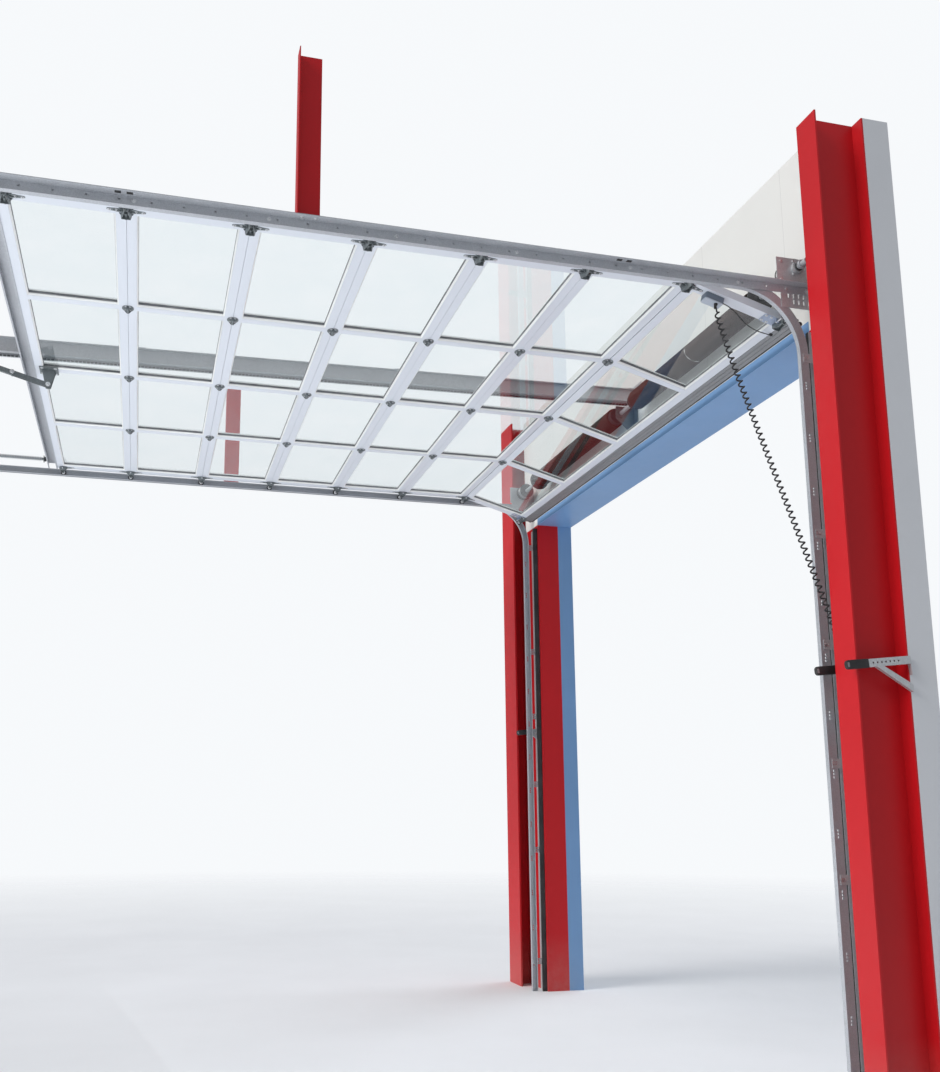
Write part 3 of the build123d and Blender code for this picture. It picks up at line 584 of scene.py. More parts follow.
def copied(piece, place):
    twin = piece.copy()
    twin.data = piece.data.copy()
    placed(twin, place)
    if place.determinant() < 0:
        twin.data.flip_normals()
    bpy.context.scene.collection.objects.link(twin)
    return twin


def dropPiece(piece):
    mesh = piece.data
    bpy.data.objects.remove(piece)
    bpy.data.meshes.remove(mesh)


def spread(piece, places, spin=Matrix()):
    # Copies of a piece as one. A place is a matrix or a point.
    places = [moved(*place) if isinstance(place, tuple) else place for place in places]
    twins = [copied(piece, place @ spin) for place in places]
    dropPiece(piece)
    return merged(twins)


def bothSides(pieces):
    # The pieces as one, with their mirror on the far side of the opening.
    near = merged(pieces)
    return merged([near, copied(near, farMirror)])


def fitted(piece, name, slotName, *stands):
    only(piece)
    bpy.ops.object.shade_smooth_by_angle(angle=radians(35))
    piece.name = name
    piece.data.name = name
    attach(piece, "root")
    if stands:
        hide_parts(*stands)
    return piece


boltShape = {"headRound": 0.12, "washerThick": 0.0016, "washerSides": 16, "washerRound": 0.0005}


def hexBolt(radius, height, washer):
    # A hex head on a washer, standing on z = 0 and pointing down.
    head = softened(roundBar(-height, 0, radius, sides=6, axis="z"), radius * boltShape["headRound"], 1)
    ring = roundBar(-boltShape["washerThick"], 0, washer, sides=boltShape["washerSides"], axis="z")
    return painted(merged([head, softened(ring, boltShape["washerRound"], 1)]), boltZinc)


def bolts(size, points, base=Matrix(), spin=Matrix()):
    # A size is the head's radius and height and the washer's radius. The heads point down if not turned.
    return spread(hexBolt(*size), [base @ moved(*point) for point in points], spin)


def grid(xs, ys, zs):
    return [(x, y, z) for x in xs for y in ys for z in zs]


# Hinges. A hinge lies along X on its joint, its wings on the face of the leaf 15 mm over the pin.
# A wing has a reach, a width at its root and one at its tip, and a cheek a reach and a drop.

hinge = {
    "seat": 0.015, "plate": 0.003, "shoulder": 0.016, "gap": 0.0015, "tipRound": 0.42, "ribHalf": 0.12,
    "ribDepth": 0.01, "cheekFoot": 0.007, "cheekLift": 0.002, "pinLength": 0.052,
    "centre": {"wing": (0.034, 0.068, 0.04), "cheek": (0.026, 0.0085),
               "bolts": ((-0.024, 0.0125), (0.024, 0.0125))},
    "end": {"wing": (0.094, 0.038, 0.013), "cheek": (0.036, 0.021), "bolts": ((-0.002, 0.047), (0.0, 0.082))},
    "bolt": (0.0055, 0.0055, 0.0095), "firstStile": 0.33, "endX": 0.319, "topInset": 0.045, "bottomRoller": -0.59,
}


def hingeWing(reach, base, tip):
    seat, shoulder = hinge["seat"], hinge["shoulder"]
    under, ribHalf = seat - hinge["plate"], base * hinge["ribHalf"]
    wing = slab((-base / 2, shoulder, under), (base / 2, reach, seat))
    resized(wing, lambda place: place.y > reach - 0.001, (tip / base, 1, 1), (0, reach, 0))
    rounded(wing, "z", tip * hinge["tipRound"], 5, lambda place: place.y > reach - 0.001)
    root = slab((-base / 2, hinge["gap"], under), (base / 2, shoulder, seat))
    rib = slab((-ribHalf, 0.002, seat - hinge["ribDepth"]), (ribHalf, reach * 0.8, under))
    pick(rib, "VERT", lambda place, normal: place.z < under - 0.001 and place.y > reach * 0.5)
    bpy.ops.transform.translate(value=(0, -reach * 0.35, 0))
    bpy.ops.transform.resize(value=(0.4, 1, 1), center_override=(0, 0, 0))
    done(rib)
    return softened(merged([wing, root, rib]), 0.0008, 2)


def hingeCheeks(reach, drop):
    # The two triangular side plates that come down from the leaf to the pin.
    half, thick = hinge["pinLength"] / 2, hinge["plate"]
    cheeks = []
    for x in (-half, half - thick):
        cheek = slab((x, 0.0, -drop), (x + thick, reach, hinge["seat"] - 0.001))
        shifted(cheek, lambda place: place.z < 0 and place.y > 0.01,
                (0, hinge["cheekFoot"] - reach, hinge["cheekLift"]))
        cheeks.append(softened(cheek, 0.0006, 1))
    return merged(cheeks)


def halfHinge(side, shape):
    wing = painted(merged([hingeWing(*shape["wing"]), hingeCheeks(*shape["cheek"])]), darkZinc)
    if side < 0:
        placed(wing, turn("Z", 180))
    under = hinge["seat"] - hinge["plate"]
    return merged([wing, bolts(hinge["bolt"], [(x, side * y, under) for x, y in shape["bolts"]])])


def hingePin():
    half = hinge["pinLength"] / 2
    end = [(half - 0.002, 0.0085), (half, 0.006), (half + 0.002, 0.004)]
    return painted(turned([(-x, radius) for x, radius in reversed(end)] + end, sides=16), darkZinc)


def jointPlaces():
    y, z = door["pivot"]
    return [(y + index * door["section"], z) for index in range(6)]


def makeCentreHinges():
    shape = hinge["centre"]
    upper, lower = merged([halfHinge(1, shape), hingePin()]), halfHinge(-1, shape)
    stiles = [hinge["firstStile"] + door["panePitch"] * index for index in (1, 2, 3)]
    places = [moved(x, y, z) for y, z in jointPlaces() for x in stiles]
    tilted = [place @ turn("X", door["tilt"]) for place in places[:3]]
    hinges = merged([spread(upper, places), spread(lower, tilted + places[3:])])
    fitted(hinges, "centreHingeSet", "dark_steel", "centre_hinges")


carrierShape = {
    "low": (0.262, -0.029, -0.019), "high": (0.347, 0.029, 0.01), "nose": (1, 0.36, 1), "floor": (0.94, 0.8, 1),
    "middle": (0.3, 0, 0), "wall": 0.003, "depth": 0.024, "holes": (0.298, 0.324),
    "drillBar": (0.0, 0.02, 0.0056), "shade": (0.009, 0.0098, 0.0066),
}


def makeCarrier(low, high, nose, floor, middle, wall, depth, holes, drillBar, shade):
    # A tapered trough under the hinge that holds the roller's stem, with two adjusting holes in its web, each
    # darkened by a black disc as painted shade.
    tray = slab(low, high)
    resized(tray, lambda place: place.x < low[0] + 0.008, nose, (low[0], 0, 0))
    resized(tray, lambda place: place.z < 0, floor, middle)
    pick(tray, "FACE", lambda centre, normal: normal.z < -0.9)
    bpy.ops.mesh.inset(thickness=wall, depth=0)
    bpy.ops.mesh.extrude_region_move(TRANSFORM_OT_translate={"value": (0, 0, depth)})
    softened(done(tray), 0.0007, 2)
    shades = []
    for x in holes:
        drill = roundBar(*drillBar, (x, 0), 16, "z")
        applied(tray, "BOOLEAN", object=drill, solver="EXACT")
        dropPiece(drill)
        shades.append(painted(roundBar(*shade, (x, 0), 16, "z"), blackRubber))
    return merged([painted(tray, darkZinc)] + shades)


rollerShape = {
    "tyre": [(0.205, 0.015), (0.205, 0.0205), (0.2065, 0.0228), (0.209, 0.023), (0.215, 0.023), (0.2175, 0.0228),
             (0.219, 0.0205), (0.219, 0.015)],
    "hub": [(0.204, 0.0045), (0.2045, 0.015), (0.2195, 0.015), (0.2215, 0.012), (0.2225, 0.008)],
    "stem": [(0.207, 0.0055), (0.3535, 0.0055), (0.355, 0.004)],
}


def makeRoller():
    parts = (("tyre", 32, blackRubber), ("hub", 24, boltZinc), ("stem", 16, boltZinc))
    return merged([painted(turned(rollerShape[name], sides=sides), finish) for name, sides, finish in parts])


cornerPlate = {
    "plate": ((0.282, -0.604, 0.012), (0.36, -0.476, 0.015)),
    "fold": ((0.282, -0.57, -0.008), (0.288, -0.546, 0.013)),
    "post": [(0.242, 0.0035), (0.243, 0.006), (0.299, 0.006), (0.3, 0.0035)], "postAt": (-0.56, 0),
    "size": (0.0055, 0.005, 0.0095),
    "points": grid((0.294, 0.346), (-0.49, -0.522), (0.012,)) + [(0.346, -0.575, 0.012)],
}


def makeCornerPlate(plate, fold, post, postAt, size, points):
    # The plate at the leaf's bottom corner, with the post that the cable ends on.
    return merged([block(*plate, plateZinc, (0.0007, 1), ("z", 0.01, 4)), block(*fold, plateZinc, (0.0015, 2)),
                   painted(turned(post, postAt, 16), boltZinc), bolts(size, points)])


def makeEndHinges():
    shape, reach = hinge["end"], moved(hinge["endX"], 0, 0)
    upper, lower = placed(halfHinge(1, shape), reach), placed(halfHinge(-1, shape), reach)
    body = merged([makeCarrier(**carrierShape), makeRoller(), placed(hingePin(), reach)])
    joints = [moved(0, y, z) for y, z in jointPlaces()]
    y, z = jointPlaces()[-1]
    top = moved(0, y + door["section"] - hinge["topInset"], z)
    near = merged([
        spread(lower, [tiltPlace] + joints[1:] + [top]),
        spread(upper, joints),
        spread(body, joints + [top, tiltPlace @ moved(0, hinge["bottomRoller"], 0)]),
        spread(makeCornerPlate(**cornerPlate), [tiltPlace]),
    ])
    far = copied(near, farMirror)
    fitted(near, "nearEndHingeSet", "dark_steel", "near_end_hinges")
    fitted(far, "farEndHingeSet", "dark_steel", "far_end_hinges")


makeCentreHinges()
makeEndHinges()
print("hinges made")


# Counterbalance: everything here is turned about the shaft. A profile is pairs of place and radius.

springSpans = {"near": (0.62, 2.19), "far": (0.6972, 2.2672)}
springShape = {
    "wire": 0.0062, "radius": 0.0688, "pitch": 0.0127,
    "turnSteps": 22, "coneBack": 0.07,
    "cone": [(0.0, 0.018), (0.0, 0.034), (0.002, 0.036), (0.002, 0.083), (0.004, 0.086), (0.012, 0.086),
             (0.014, 0.083), (0.014, 0.05), (0.03, 0.047)],
    "throat": [(-0.006, 0.054), (0.03, 0.0625), (0.07, 0.0625)],
    "plug": [(-0.035, 0.0625), (0.002, 0.0625), (0.006, 0.056), (0.03, 0.056), (0.032, 0.062), (0.04, 0.062),
             (0.04, 0.018)],
    "rib": (0.005, 0.04, 0.08), "ribDrop": 0.02, "screw": (0.03, 0.046, 0.0065), "screwX": 0.022,
}


def woundWire(x0, x1, radius, wire, pitch, steps, sides=8):
    clearSelection()
    bpy.ops.mesh.primitive_circle_add(vertices=sides, radius=wire, location=(0, 0, radius),
                                      rotation=(pi / 2, 0, 0))
    coil = applied(settled(), "SCREW", axis="X", screw_offset=pitch, iterations=max(1, int((x1 - x0) / pitch)),
                   steps=steps, render_steps=steps)
    bpy.ops.object.mode_set(mode="EDIT")
    bpy.ops.mesh.select_all(action="SELECT")
    bpy.ops.mesh.fill_holes(sides=0)
    done(coil, True)
    return placed(coil, moved(x0 + wire, 0, 0))


def aroundShaft(piece, angles):
    return spread(piece, [moved(0, *shaftAt) @ turn("X", angle) for angle in angles])


def profileFrom(x, steps):
    return [(x + along, radius) for along, radius in steps]


def makeSpring(x0, x1, wire, radius, pitch, turnSteps, coneBack, cone, throat, plug, rib, ribDrop, screw, screwX):
    back = x0 - coneBack
    coil = placed(woundWire(x0, x1 - wire, radius, wire, pitch, turnSteps), moved(0, *shaftAt))
    cone = turned(profileFrom(back, cone) + profileFrom(x0, throat), shaftAt, 40)
    plug = turned(profileFrom(x1, plug), shaftAt, 40)
    half, low, high = rib
    rib = shifted(slab((back + 0.013, -half, low), (x0 - 0.004, half, high)),
                  lambda place: place.x > x0 - 0.01 and place.z > 0.06, (0, 0, -ribDrop))
    ribs = aroundShaft(softened(rib, 0.0015, 2), (0, 90, 180, 270))
    screw = painted(softened(roundBar(*screw, (back + screwX, 0), 6, "z"), 0.0008, 1), boltZinc)
    iron = painted(merged([cone, plug, ribs]), castIron)
    return merged([painted(coil, springSteel), iron, aroundShaft(screw, (45, 225))])


drumShape = {
    "start": [(0.21, 0.018), (0.21, 0.0665), (0.2115, 0.067), (0.2145, 0.067), (0.216, 0.0655), (0.217, 0.06)],
    "groove": [(0.0, 0.061), (0.0015, 0.061), (0.0035, 0.0585), (0.0055, 0.0585)],
    "grooves": 11, "grooveStart": 0.219, "pitch": 0.0075,
    "end": [(0.303, 0.061), (0.304, 0.0655), (0.3055, 0.067), (0.3085, 0.067), (0.31, 0.0655), (0.31, 0.018)],
    "cable": (0.2475, 0.302, 0.061, 0.0025), "screw": (0.03, 0.064, 0.0065), "screwX": 0.2995,
}


def makeDrum(start, groove, grooves, grooveStart, pitch, end, cable, screw, screwX):
    for number in range(grooves):
        start = start + profileFrom(grooveStart + number * pitch, groove)
    drum = painted(turned(start + end, shaftAt, 40), castIron)
    winding = painted(placed(woundWire(*cable, pitch, 32, 6), moved(0, *shaftAt)), wireSteel)
    screw = painted(roundBar(*screw, (screwX, 0), 6, "z"), boltZinc)
    return merged([drum, winding, aroundShaft(screw, (30, 210))])


fittingShape = {
    "ring": [(0.172, 0.0165), (0.172, 0.024), (0.174, 0.026), (0.178, 0.026), (0.1785, 0.033), (0.18, 0.035),
             (0.195, 0.035), (0.196, 0.033)],
    "collar": [(0.14, 0.0165), (0.14, 0.024), (0.142, 0.026), (0.156, 0.026), (0.158, 0.024), (0.158, 0.0165)],
    "bolt": (0.006, 0.005, 0.009), "boltAt": (0.1965, 0, 0.046),
}


def makeShaftFittings(ring, collar, bolt, boltAt):
    # Bearing rings on the end plates with their bolts, and collars.
    parts = [painted(turned(ring, shaftAt, 32), castIron), painted(turned(collar, shaftAt, 28), trackZinc)]
    return bothSides(parts + [aroundShaft(bolts(bolt, [boltAt], spin=turn("Y", 90)), (90, 210, 330))])


near, far = [makeSpring(*springSpans[side], **springShape) for side in ("near", "far")]
fitted(merged([near, spread(far, [farMirror])]), "woundSprings", "spring_steel", "torsion_springs")
fitted(bothSides([makeDrum(**drumShape)]), "groovedDrums", "dark_steel", "cable_drums")
fitted(makeShaftFittings(**fittingShape), "shaftFittings", "dark_steel")
print("springs and drums made")


# Leaf: the glazing bead and the gasket are made once for a pane and set in all 28, on both faces.

leafShape = {
    "low": (0.364, 0.057), "paneSize": (0.9738, 0.494), "thick": 0.0445, "face": 4.48, "gap": 0.0008,
    "bead": (0.0066, 0.008, 0.0008, 0.0136), "beadSlope": 0.0072, "gasket": (0.0, 0.0026, 0.0134, 0.019),
}


def frameRing(width, height, grow, wall, z0, z1):
    # A flat frame round an opening that starts at the origin; grow moves its outer edge outwards.
    ring = slab((-grow, -grow, z0), (width + grow, height + grow, z1))
    pick(ring, "FACE", lambda centre, normal: abs(normal.z) > 0.9)
    bpy.ops.mesh.inset(thickness=wall, depth=0)
    bpy.ops.mesh.bridge_edge_loops()
    return done(ring, True)


def makePaneTrim():
    width, height = leafShape["paneSize"]
    bead = frameRing(width, height, *leafShape["bead"])
    shifted(bead, lambda place: place.z < 0.002 and 0 < place.x < width and 0 < place.y < height,
            (0, 0, leafShape["beadSlope"]))
    painted(softened(bead, 0.0006, 1, 20), beadCoat)
    return merged([bead, painted(frameRing(width, height, *leafShape["gasket"]), wornRubber)])


def sectionPlace(number):
    gap, section = leafShape["gap"], door["section"]
    if number == 1:
        return tiltPlace @ moved(0, gap - section, hinge["seat"])
    return moved(0, door["pivot"][0] + (number - 2) * section + gap, leafShape["face"])


def makeLeafTrim():
    through = moved(0, 0, leafShape["thick"]) @ flip("Z")
    x, y = leafShape["low"]
    places = []
    for number in range(1, 8):
        for pane in range(4):
            place = sectionPlace(number) @ moved(x + pane * door["panePitch"], y, 0)
            places += [place, place @ through]
    fitted(spread(makePaneTrim(), places), "glazingBeads", "white_aluminium")


makeLeafTrim()
print("leaf trim made")


# Operator: chain under the rail, and the head with its cover. The rail falls towards the room.

railPlace = moved(door["middle"], 0.02, 4.66) @ turn("X", -1.2)
chainShape = {
    "plate": ((-0.003, 0.0015, -0.0045), (-0.0018, 0.0239, 0.0045)), "corner": 0.0035, "gauge": 0.0048,
    "pin": (-0.0038, 0.0038, 0.0022, (0.0127, 0), 6), "links": 218, "pitch": 0.0254, "start": (0, 0.055, -0.01),
    "tooth": ((-0.0018, -0.004, 0.02), (0.0018, 0.004, 0.03)), "wheelAt": (door["middle"], 0.062, 4.6735),
    "disc": [(-0.01, 0.01), (-0.0022, 0.012), (-0.0022, 0.0245), (0.0022, 0.0245), (0.0022, 0.012), (0.01, 0.01)],
}


def makeChain(plate, corner, gauge, pin, links, pitch, start, tooth, wheelAt, disc):
    link = rounded(slab(*plate), "x", corner, 1)
    link = merged([link, copied(link, moved(gauge, 0, 0)), roundBar(*pin)])
    chain = applied(link, "ARRAY", count=links, use_relative_offset=False, use_constant_offset=True,
                    constant_offset_displace=(0, pitch, 0))
    placed(chain, railPlace @ moved(*start))
    cogs = spread(slab(*tooth), [turn("X", angle) for angle in range(0, 360, 30)])
    wheel = placed(merged([turned(disc, sides=24), cogs]), moved(*wheelAt))
    return painted(merged([chain, wheel]), castIron)


headShape = {
    "cover": ((2.2636, 5.66, 4.4819), (2.5636, 6.126, 4.8019)),
    "cap": ((2.2756, 6.124, 4.4939), (2.5516, 6.13, 4.7899)),
    "screw": (6.129, 6.133, 0.006), "screws": grid((2.2916, 2.5356), (0,), (4.5099, 4.7739)),
    "seam": ((2.2624, 5.81, 4.5019), (2.5648, 5.813, 4.7819)), "seams": [(0, 0, 0), (0, 0.245, 0)],
    "louvre": ((2.2576, 5.88, 4.5719), (2.5696, 6.02, 4.5809)), "louvreTop": (0.975, 0.97, 1),
    "shade": ((2.2591, 5.884, 4.5704), (2.5681, 6.016, 4.5724)),
    "louvres": [(0, 0, 0.022 * row) for row in range(7)],
    "bolt": (0.006, 0.005, 0.01), "under": grid((2.2936, 2.5336), (5.69, 5.78, 6.1), (4.4819,)),
    "gland": [(0.0, 0.012), (0.004, 0.012), (0.005, 0.009), (0.014, 0.009), (0.018, 0.006)],
    "lamp": [(0.0, 0.03), (0.004, 0.03), (0.008, 0.026), (0.01, 0.018)],
    "glands": grid((2.3436, 2.3836), (5.98,), (4.4819,)), "lamps": [(2.4636, 5.98, 4.4819)],
}


def makeHead(cover, cap, screw, screws, seam, seams, louvre, louvreTop, shade, louvres, bolt, under, gland, lamp,
             glands, lamps):
    # A sheet cover with an end cap, seams and louvres, a black strip of painted shade under each louvre, and two
    # glands and a lamp on its underside.
    low, high = louvre
    slot = resized(slab(low, high), lambda place: place.z > low[2] + 0.008, louvreTop,
                   [(first + last) / 2 for first, last in zip(low, high)])
    slot = merged([painted(softened(slot, 0.001, 2), boxPlastic), block(*shade, blackRubber)])
    screw = painted(softened(roundBar(*screw, sides=16, axis="y"), 0.0012, 2), boltZinc)
    return merged([
        block(*cover, boxPlastic, (0.002, 2), ("y", 0.018, 4)),
        block(*cap, zincSteel, (0.0012, 2), ("y", 0.012, 4)),
        spread(screw, screws), spread(block(*seam, blackRubber), seams), spread(slot, louvres), bolts(bolt, under),
        spread(painted(turned(gland, sides=12), blackRubber), glands, turn("Y", 90)),
        spread(painted(turned(lamp, sides=28), beadCoat), lamps, turn("Y", 90)),
    ])


# Rows of bolts on the near side, which are mirrored on the far one. Those of the rail lie along its slope.
boltRows = {
    "armBolts": [
        {"size": (0.011, 0.008, 0.016), "spin": turn("Y", 90),
         "points": [(2.3886, *pin) for pin in ((4.322, 4.372), (4.551, 4.4372), (4.671, 4.4714), (4.9, 4.5338))]},
        {"size": (0.007, 0.006, 0.012), "points": grid((2.3686,), (4.28, 4.364), (4.474,))}],
    "railBolts": [
        {"size": (0.0065, 0.006, 0.011), "base": railPlace, "spin": turn("X", 180),
         "points": grid((-0.034,), (0.065, 1.905, 3.705, 5.595), (0.1095,))},
        {"size": (0.008, 0.007, 0.014), "spin": turn("X", 90), "points": grid((2.3416,), (0.0261,), (4.68, 4.79))}],
    "plateBolts": [
        {"size": (0.0068, 0.0055, 0.011), "spin": turn("Y", 90),
         "points": grid((0.1919,), [0.085, 0.215] + [0.516 + 0.65 * step for step in range(8)], (4.462,))
         + grid((0.1958,), (0.045, 0.235), (4.63,)) + [(0.1958, 0.235, 4.52), (0.1958, 0.045, 4.372)]}],
    "hangerBolts": [
        {"size": (0.0085, 0.007, 0.014), "points": grid((0.172,), (2.885, 2.955, 5.22, 5.29), (4.4829,))}],
}


def makeBoltRows(name):
    fitted(bothSides([bolts(**row) for row in boltRows[name]]), name, "galvanised")


fitted(makeChain(**chainShape), "drawChain", "dark_steel")
fitted(makeHead(**headShape), "operatorHead", "grey_box", "operator_motor")
makeBoltRows("armBolts")
makeBoltRows("railBolts")
print("operator made")


# Small pieces beside the track: sleeves, bumpers, boxes, bolts and rivets.

restShape = {
    "bar": ((-0.0105, -0.131, -0.0235), (0.0105, 0, 0.0235)), "round": 0.017,
    "worn": ((-0.0109, -0.02, -0.01457), (0.0109, -0.003, 0.01457)),
    "places": grid((0.152, 4.6752, -0.093), (0.225,), (2.29,)), "rise": 6,
}


def makeSleeves():
    sleeve = block(*restShape["bar"], blackRubber, (0.0035, 3), ("x", restShape["round"], 6),
                   lambda place: place.y > -0.001)
    worn = block(*restShape["worn"], wornRubber, (0.004, 3))
    return spread(merged([sleeve, worn]), restShape["places"], turn("X", -restShape["rise"]))


bumperShape = {
    "coil": (4.545, 5.08, 0.0165, 0.0026, 0.0135, 14, 6), "at": (0.262, 0, 4.558), "padY": 4.527,
    "pad": [(0.0, 0.014), (0.003, 0.0195), (0.012, 0.021), (0.016, 0.018)],
}


def makeBumperSprings():
    at = moved(*bumperShape["at"])
    spring = painted(placed(woundWire(*bumperShape["coil"]), at @ turn("Z", 90)), trackZinc)
    pad = placed(turned(bumperShape["pad"], sides=24), at @ moved(0, bumperShape["padY"], 0) @ turn("Z", -90))
    return bothSides([spring, painted(pad, blackRubber)])


# Punched slots in the ledge of the track angle, on its underside, drawn as thin black patches: painted shade where
# the holes are.
slotShadeShape = {
    "x": (0.156, 0.176), "z": (4.4822, 4.4834),
    "spans": ((3.77, 3.8), (3.826, 3.856), (4.385, 4.465), (1.17, 1.2), (1.226, 1.256)),
}


def makeLedgeSlotShades():
    (x0, x1), (z0, z1) = slotShadeShape["x"], slotShadeShape["z"]
    return bothSides([block((x0, y0, z0), (x1, y1, z1), blackRubber, (0.0005, 1)) for y0, y1 in slotShadeShape["spans"]])


# The lid of the edge sensor's box faces down, and that of the box on the column into the room.
sensorBox = {
    "axis": "z", "corner": 0.009, "body": ((0.3, -0.225, -0.019), (0.366, -0.11, 0.015)),
    "lid": ((0.301, -0.224, -0.025), (0.365, -0.111, -0.02)),
    "gap": ((0.304, -0.221, -0.0202), (0.362, -0.114, -0.0188)),
    "screw": (-0.0262, -0.0245, 0.0032), "screws": ((0.308, 0.358), (-0.216, -0.119)), "screwSoft": (0.0005, 1),
}
columnBox = {
    "axis": "y", "corner": 0.006, "body": ((0.022, 0.02, 1.99), (0.098, 0.07, 2.11)),
    "lid": ((0.023, 0.0715, 1.991), (0.097, 0.0836, 2.109)), "gap": ((0.026, 0.0695, 1.994), (0.094, 0.072, 2.106)),
    "screw": (0.083, 0.0846, 0.003), "screws": ((0.031, 0.089), (1.999, 2.101)),
}


def makeBox(axis, corner, body, lid, gap, screw, screws, screwSoft=None):
    # A moulded box: soft corners, a black strip of painted shade in the gap under the lid, and a screw at each
    # corner.
    corners, soft = (axis, corner, 4), (0.0018, 3)
    parts = [block(*body, boxPlastic, soft, corners), block(*lid, lidPlastic, soft, corners),
             block(*gap, blackRubber)]
    for place in [(x, other) for x in screws[0] for other in screws[1]]:
        head = roundBar(*screw, place, 12, axis)
        parts.append(painted(softened(head, *screwSoft) if screwSoft else head, boltZinc))
    return merged(parts)


# Tapered sleeves where the coiled cord leaves its two boxes.
glandShape = {
    "profile": [(0.0, 0.0105), (0.006, 0.0105), (0.007, 0.009), (0.012, 0.0086), (0.013, 0.0076), (0.018, 0.0074),
                (0.019, 0.0066), (0.025, 0.0064), (0.026, 0.0056), (0.032, 0.0052)],
    "places": [tiltPlace @ moved(0.322, -0.188, -0.025) @ turn("Y", 90),
               moved(*coilCord["route"][-1]) @ turn("Y", -90)],
}


def makeGlands():
    return spread(painted(turned(glandShape["profile"], sides=20), blackRubber), glandShape["places"])


# Two rivets with washers on the foot of each track clip, and two where it holds the track.
rivetShape = {
    "head": (-0.003, 0.0, 0.0062), "washer": (-0.0012, 0.0, 0.01),
    "heights": (0.251, 1.227, 1.817, 2.443, 3.051, 4.06),
    "spots": ((0.157, 0.0281, "X"), (0.18, 0.0281, "X"), (0.1969, 0.106, "Y"), (0.1969, 0.122, "Y")),
}


def makeClipRivets():
    head = softened(roundBar(*rivetShape["head"], sides=14, axis="z"), 0.0014, 2)
    rivet = painted(merged([head, roundBar(*rivetShape["washer"], sides=18, axis="z")]), boltZinc)
    places = [moved(x, y, z) @ turn(axis, 90) for z in rivetShape["heights"] for x, y, axis in rivetShape["spots"]]
    return bothSides([spread(rivet, places)])


# The header's trim turns up behind the leaf's bottom edge, and ends in a square at each jamb outside.
trimShape = {
    "lip": ((0.28, 0.0195, 4.2672), (4.5472, 0.0225, 4.329)),
    "corner": ((0.2054, -0.3205, 4.2672), (0.2806, -0.3165, 4.3422)),
}
# The edge sensor's lead goes into the bottom edge through a split grommet.
grommetShape = {
    "body": [(-0.004, 0.004), (-0.003, 0.0085), (0.003, 0.0095), (0.008, 0.008), (0.012, 0.0045)],
    "split": ((0.0, -0.011, -0.0015), (0.009, 0.011, 0.0015)),
    "place": tiltPlace @ moved(0.44, -0.617, 0.0115) @ turn("Z", 115),
}


def makeGrommet():
    body = painted(turned(grommetShape["body"], sides=20), blackRubber)
    split = block(*grommetShape["split"], blackRubber, (0.0006, 1))
    return placed(merged([body, split]), grommetShape["place"])


# Hex screws beside the ribs of the outer wall sheets, over the opening and then down both sides.
panelScrews = {
    "size": (0.005, 0.005, 0.0092), "spin": turn("X", -90),
    "points": grid([-0.006 + 0.305 * rib for rib in range(17)], (-0.317,), (4.4, 4.85, 5.33))
    + grid((-0.006, 0.18, 4.64, 4.874, 5.106), (-0.317,), (0.12, 1.12, 2.12, 3.12, 4.12)),
}

fitted(makeSleeves(), "restSleeves", "black_rubber", "rest_tips")
fitted(makeBumperSprings(), "bumperSprings", "dark_steel")
fitted(bolts(**panelScrews), "panelScrews", "galvanised")
# The black patches under the ledge are painted shade in its slots.
fitted(makeLedgeSlotShades(), "ledgeSlotShades", "dark_steel")
fitted(placed(makeBox(**sensorBox), tiltPlace), "edgeSensorCase", "grey_box", "edge_sensor_box")
fitted(makeBox(**columnBox), "columnCase", "grey_box", "cord_box")
fitted(makeGlands(), "cordGlands", "black_rubber")
fitted(makeClipRivets(), "clipRivets", "galvanised")
makeBoltRows("plateBolts")
makeBoltRows("hangerBolts")
fitted(block(*trimShape["lip"], skyTintedTrimPaint, (0.0008, 1)), "headerLip", "trim")
fitted(bothSides([block(*trimShape["corner"], skyTintedTrimPaint, (0.0006, 1))]), "trimCorners", "trim")
fitted(makeGrommet(), "leadGrommet", "black_rubber")
print("small pieces made")

finishes = {
    "red_steel": redPaint, "trim": skyTintedTrimPaint, "wall_panel": panelPaint, "liner": linerPaint,
    "galvanised": zincSteel, "dark_steel": darkZinc, "spring_steel": oiledSteel, "white_aluminium": leafCoat,
    "clear_glass": doorGlass, "black_rubber": blackRubber, "grey_box": boxPlastic, "cable": wireSteel,
    "black_cord": cordRubber,
}


def finishNodes():
    for entry in frame["record"]["subparts"]:
        painted(nodes[entry["node"]], finishes[entry["material_slot"]])
    for name in nodes:
        if "_track" in name and "clips" not in name and "hangers" not in name:
            painted(nodes[name], trackZinc)
    painted(nodes["bottom_retainer"], edgeAlloy)
    painted(nodes["top_strut"], trackZinc)


finishNodes()
print("frame nodes finished")

room = {
    "middle": (2.6, 2.9, 0), "floorSize": 60.0, "floorColour": (0.8, 0.81, 0.83), "floorShade": 0.96,
    "floorFade": (7.0, 22.0), "mottle": (0.8, 5, 0.55), "floorOwn": {"Roughness": 0.85, "Specular IOR Level": 0.1},
    "sky": {"Color": (0.92, 0.95, 1.0, 1), "Strength": 0.43},
    "backdrop": {"Color": (0.93, 0.95, 0.97, 1), "Strength": 1.0},
}


def mixShaders(tree, factor, first, second, output):
    mix = addNode(tree, "ShaderNodeMixShader", {"Fac": factor, 1: first.outputs[0], 2: second.outputs[0]})
    feed(tree.nodes[output], {"Surface": mix.outputs[0]})


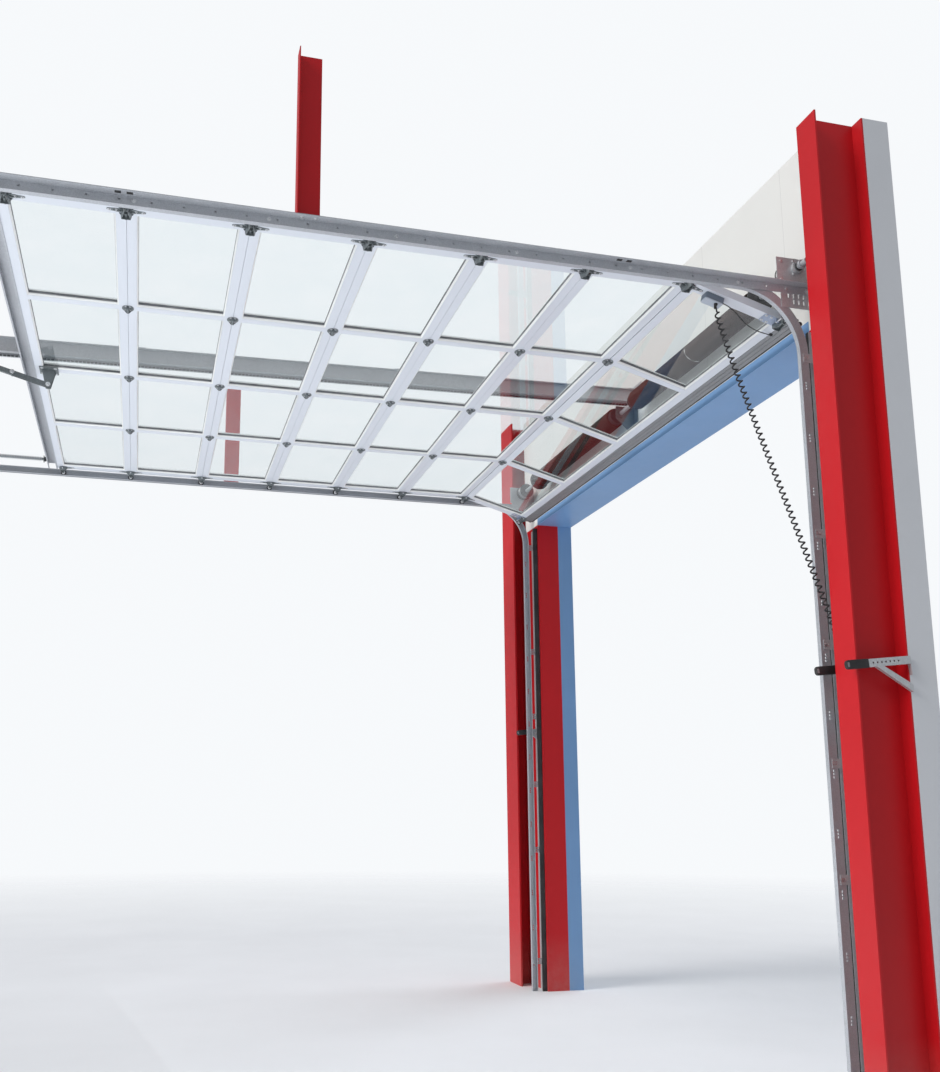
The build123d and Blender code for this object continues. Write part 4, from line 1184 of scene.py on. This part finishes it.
def makeFloor():
    # A pale floor that fades out with its distance from the door.
    bpy.ops.mesh.primitive_plane_add(size=room["floorSize"], location=room["middle"])
    floor = settled()
    floor.name = "studioFloor"
    material, shader, place = newMaterial("studioFloor")
    tree, colour = material.node_tree, room["floorColour"]
    darker = tuple(part * room["floorShade"] for part in colour)
    mottle = ramp(noise(place, *room["mottle"]), [(0.3, darker), (0.7, colour)])
    feed(shader, {"Base Color": mottle, **room["floorOwn"]})
    away = addNode(tree, "ShaderNodeVectorMath", {0: place, 1: room["middle"]})
    away.operation = "DISTANCE"
    near, far = room["floorFade"]
    fade = over(minus(away.outputs["Value"], near), far - near, True)
    mixShaders(tree, fade, shader, tree.nodes.new("ShaderNodeBsdfTransparent"), "Material Output")
    painted(floor, material)


def makeWorld():
    # The sky lights the scene softly, and a brighter backdrop is what the camera sees.
    world = bpy.data.worlds.new("studioWorld")
    bpy.context.scene.world = world
    world.use_nodes = True
    tree = world.node_tree
    sky = feed(tree.nodes["Background"], room["sky"])
    backdrop = addNode(tree, "ShaderNodeBackground", room["backdrop"])
    path = tree.nodes.new("ShaderNodeLightPath").outputs
    seen = calc("MAXIMUM", path["Is Camera Ray"], path["Is Transmission Ray"])
    mixShaders(tree, seen, sky, backdrop, "World Output")


# The spread is a sun's angle in degrees, or the side of an area lamp.
lampPlaces = {
    "roofSun": {"kind": "SUN", "at": (0.6, 8.5, 6.6), "aim": (2.0, 1.5, 2.3), "spread": 30, "power": 2.1,
                "colour": (1.0, 0.975, 0.94)},
    "outsideSun": {"kind": "SUN", "at": (5.2, -6.5, 6.0), "aim": (2.4, 0.5, 2.0), "spread": 50, "power": 1.5,
                   "colour": (0.88, 0.93, 1.0)},
    "floorBounce": {"kind": "AREA", "at": (2.0, 4.2, 0.3), "aim": (2.2, 2.8, 4.4), "spread": 7.0, "power": 210,
                    "colour": (0.94, 0.97, 1.0)},
}


def makeLamps():
    for name, place in lampPlaces.items():
        data = bpy.data.lights.new(name, place["kind"])
        if place["kind"] == "SUN":
            data.angle = radians(place["spread"])
        else:
            data.size = place["spread"]
        data.energy = place["power"]
        data.color = place["colour"]
        aimed(name, data, place["at"], Vector(place["aim"]) - Vector(place["at"]))


makeFloor()
makeWorld()
makeLamps()
bpy.context.scene.view_settings.view_transform = "Standard"
print("room and lamps made")
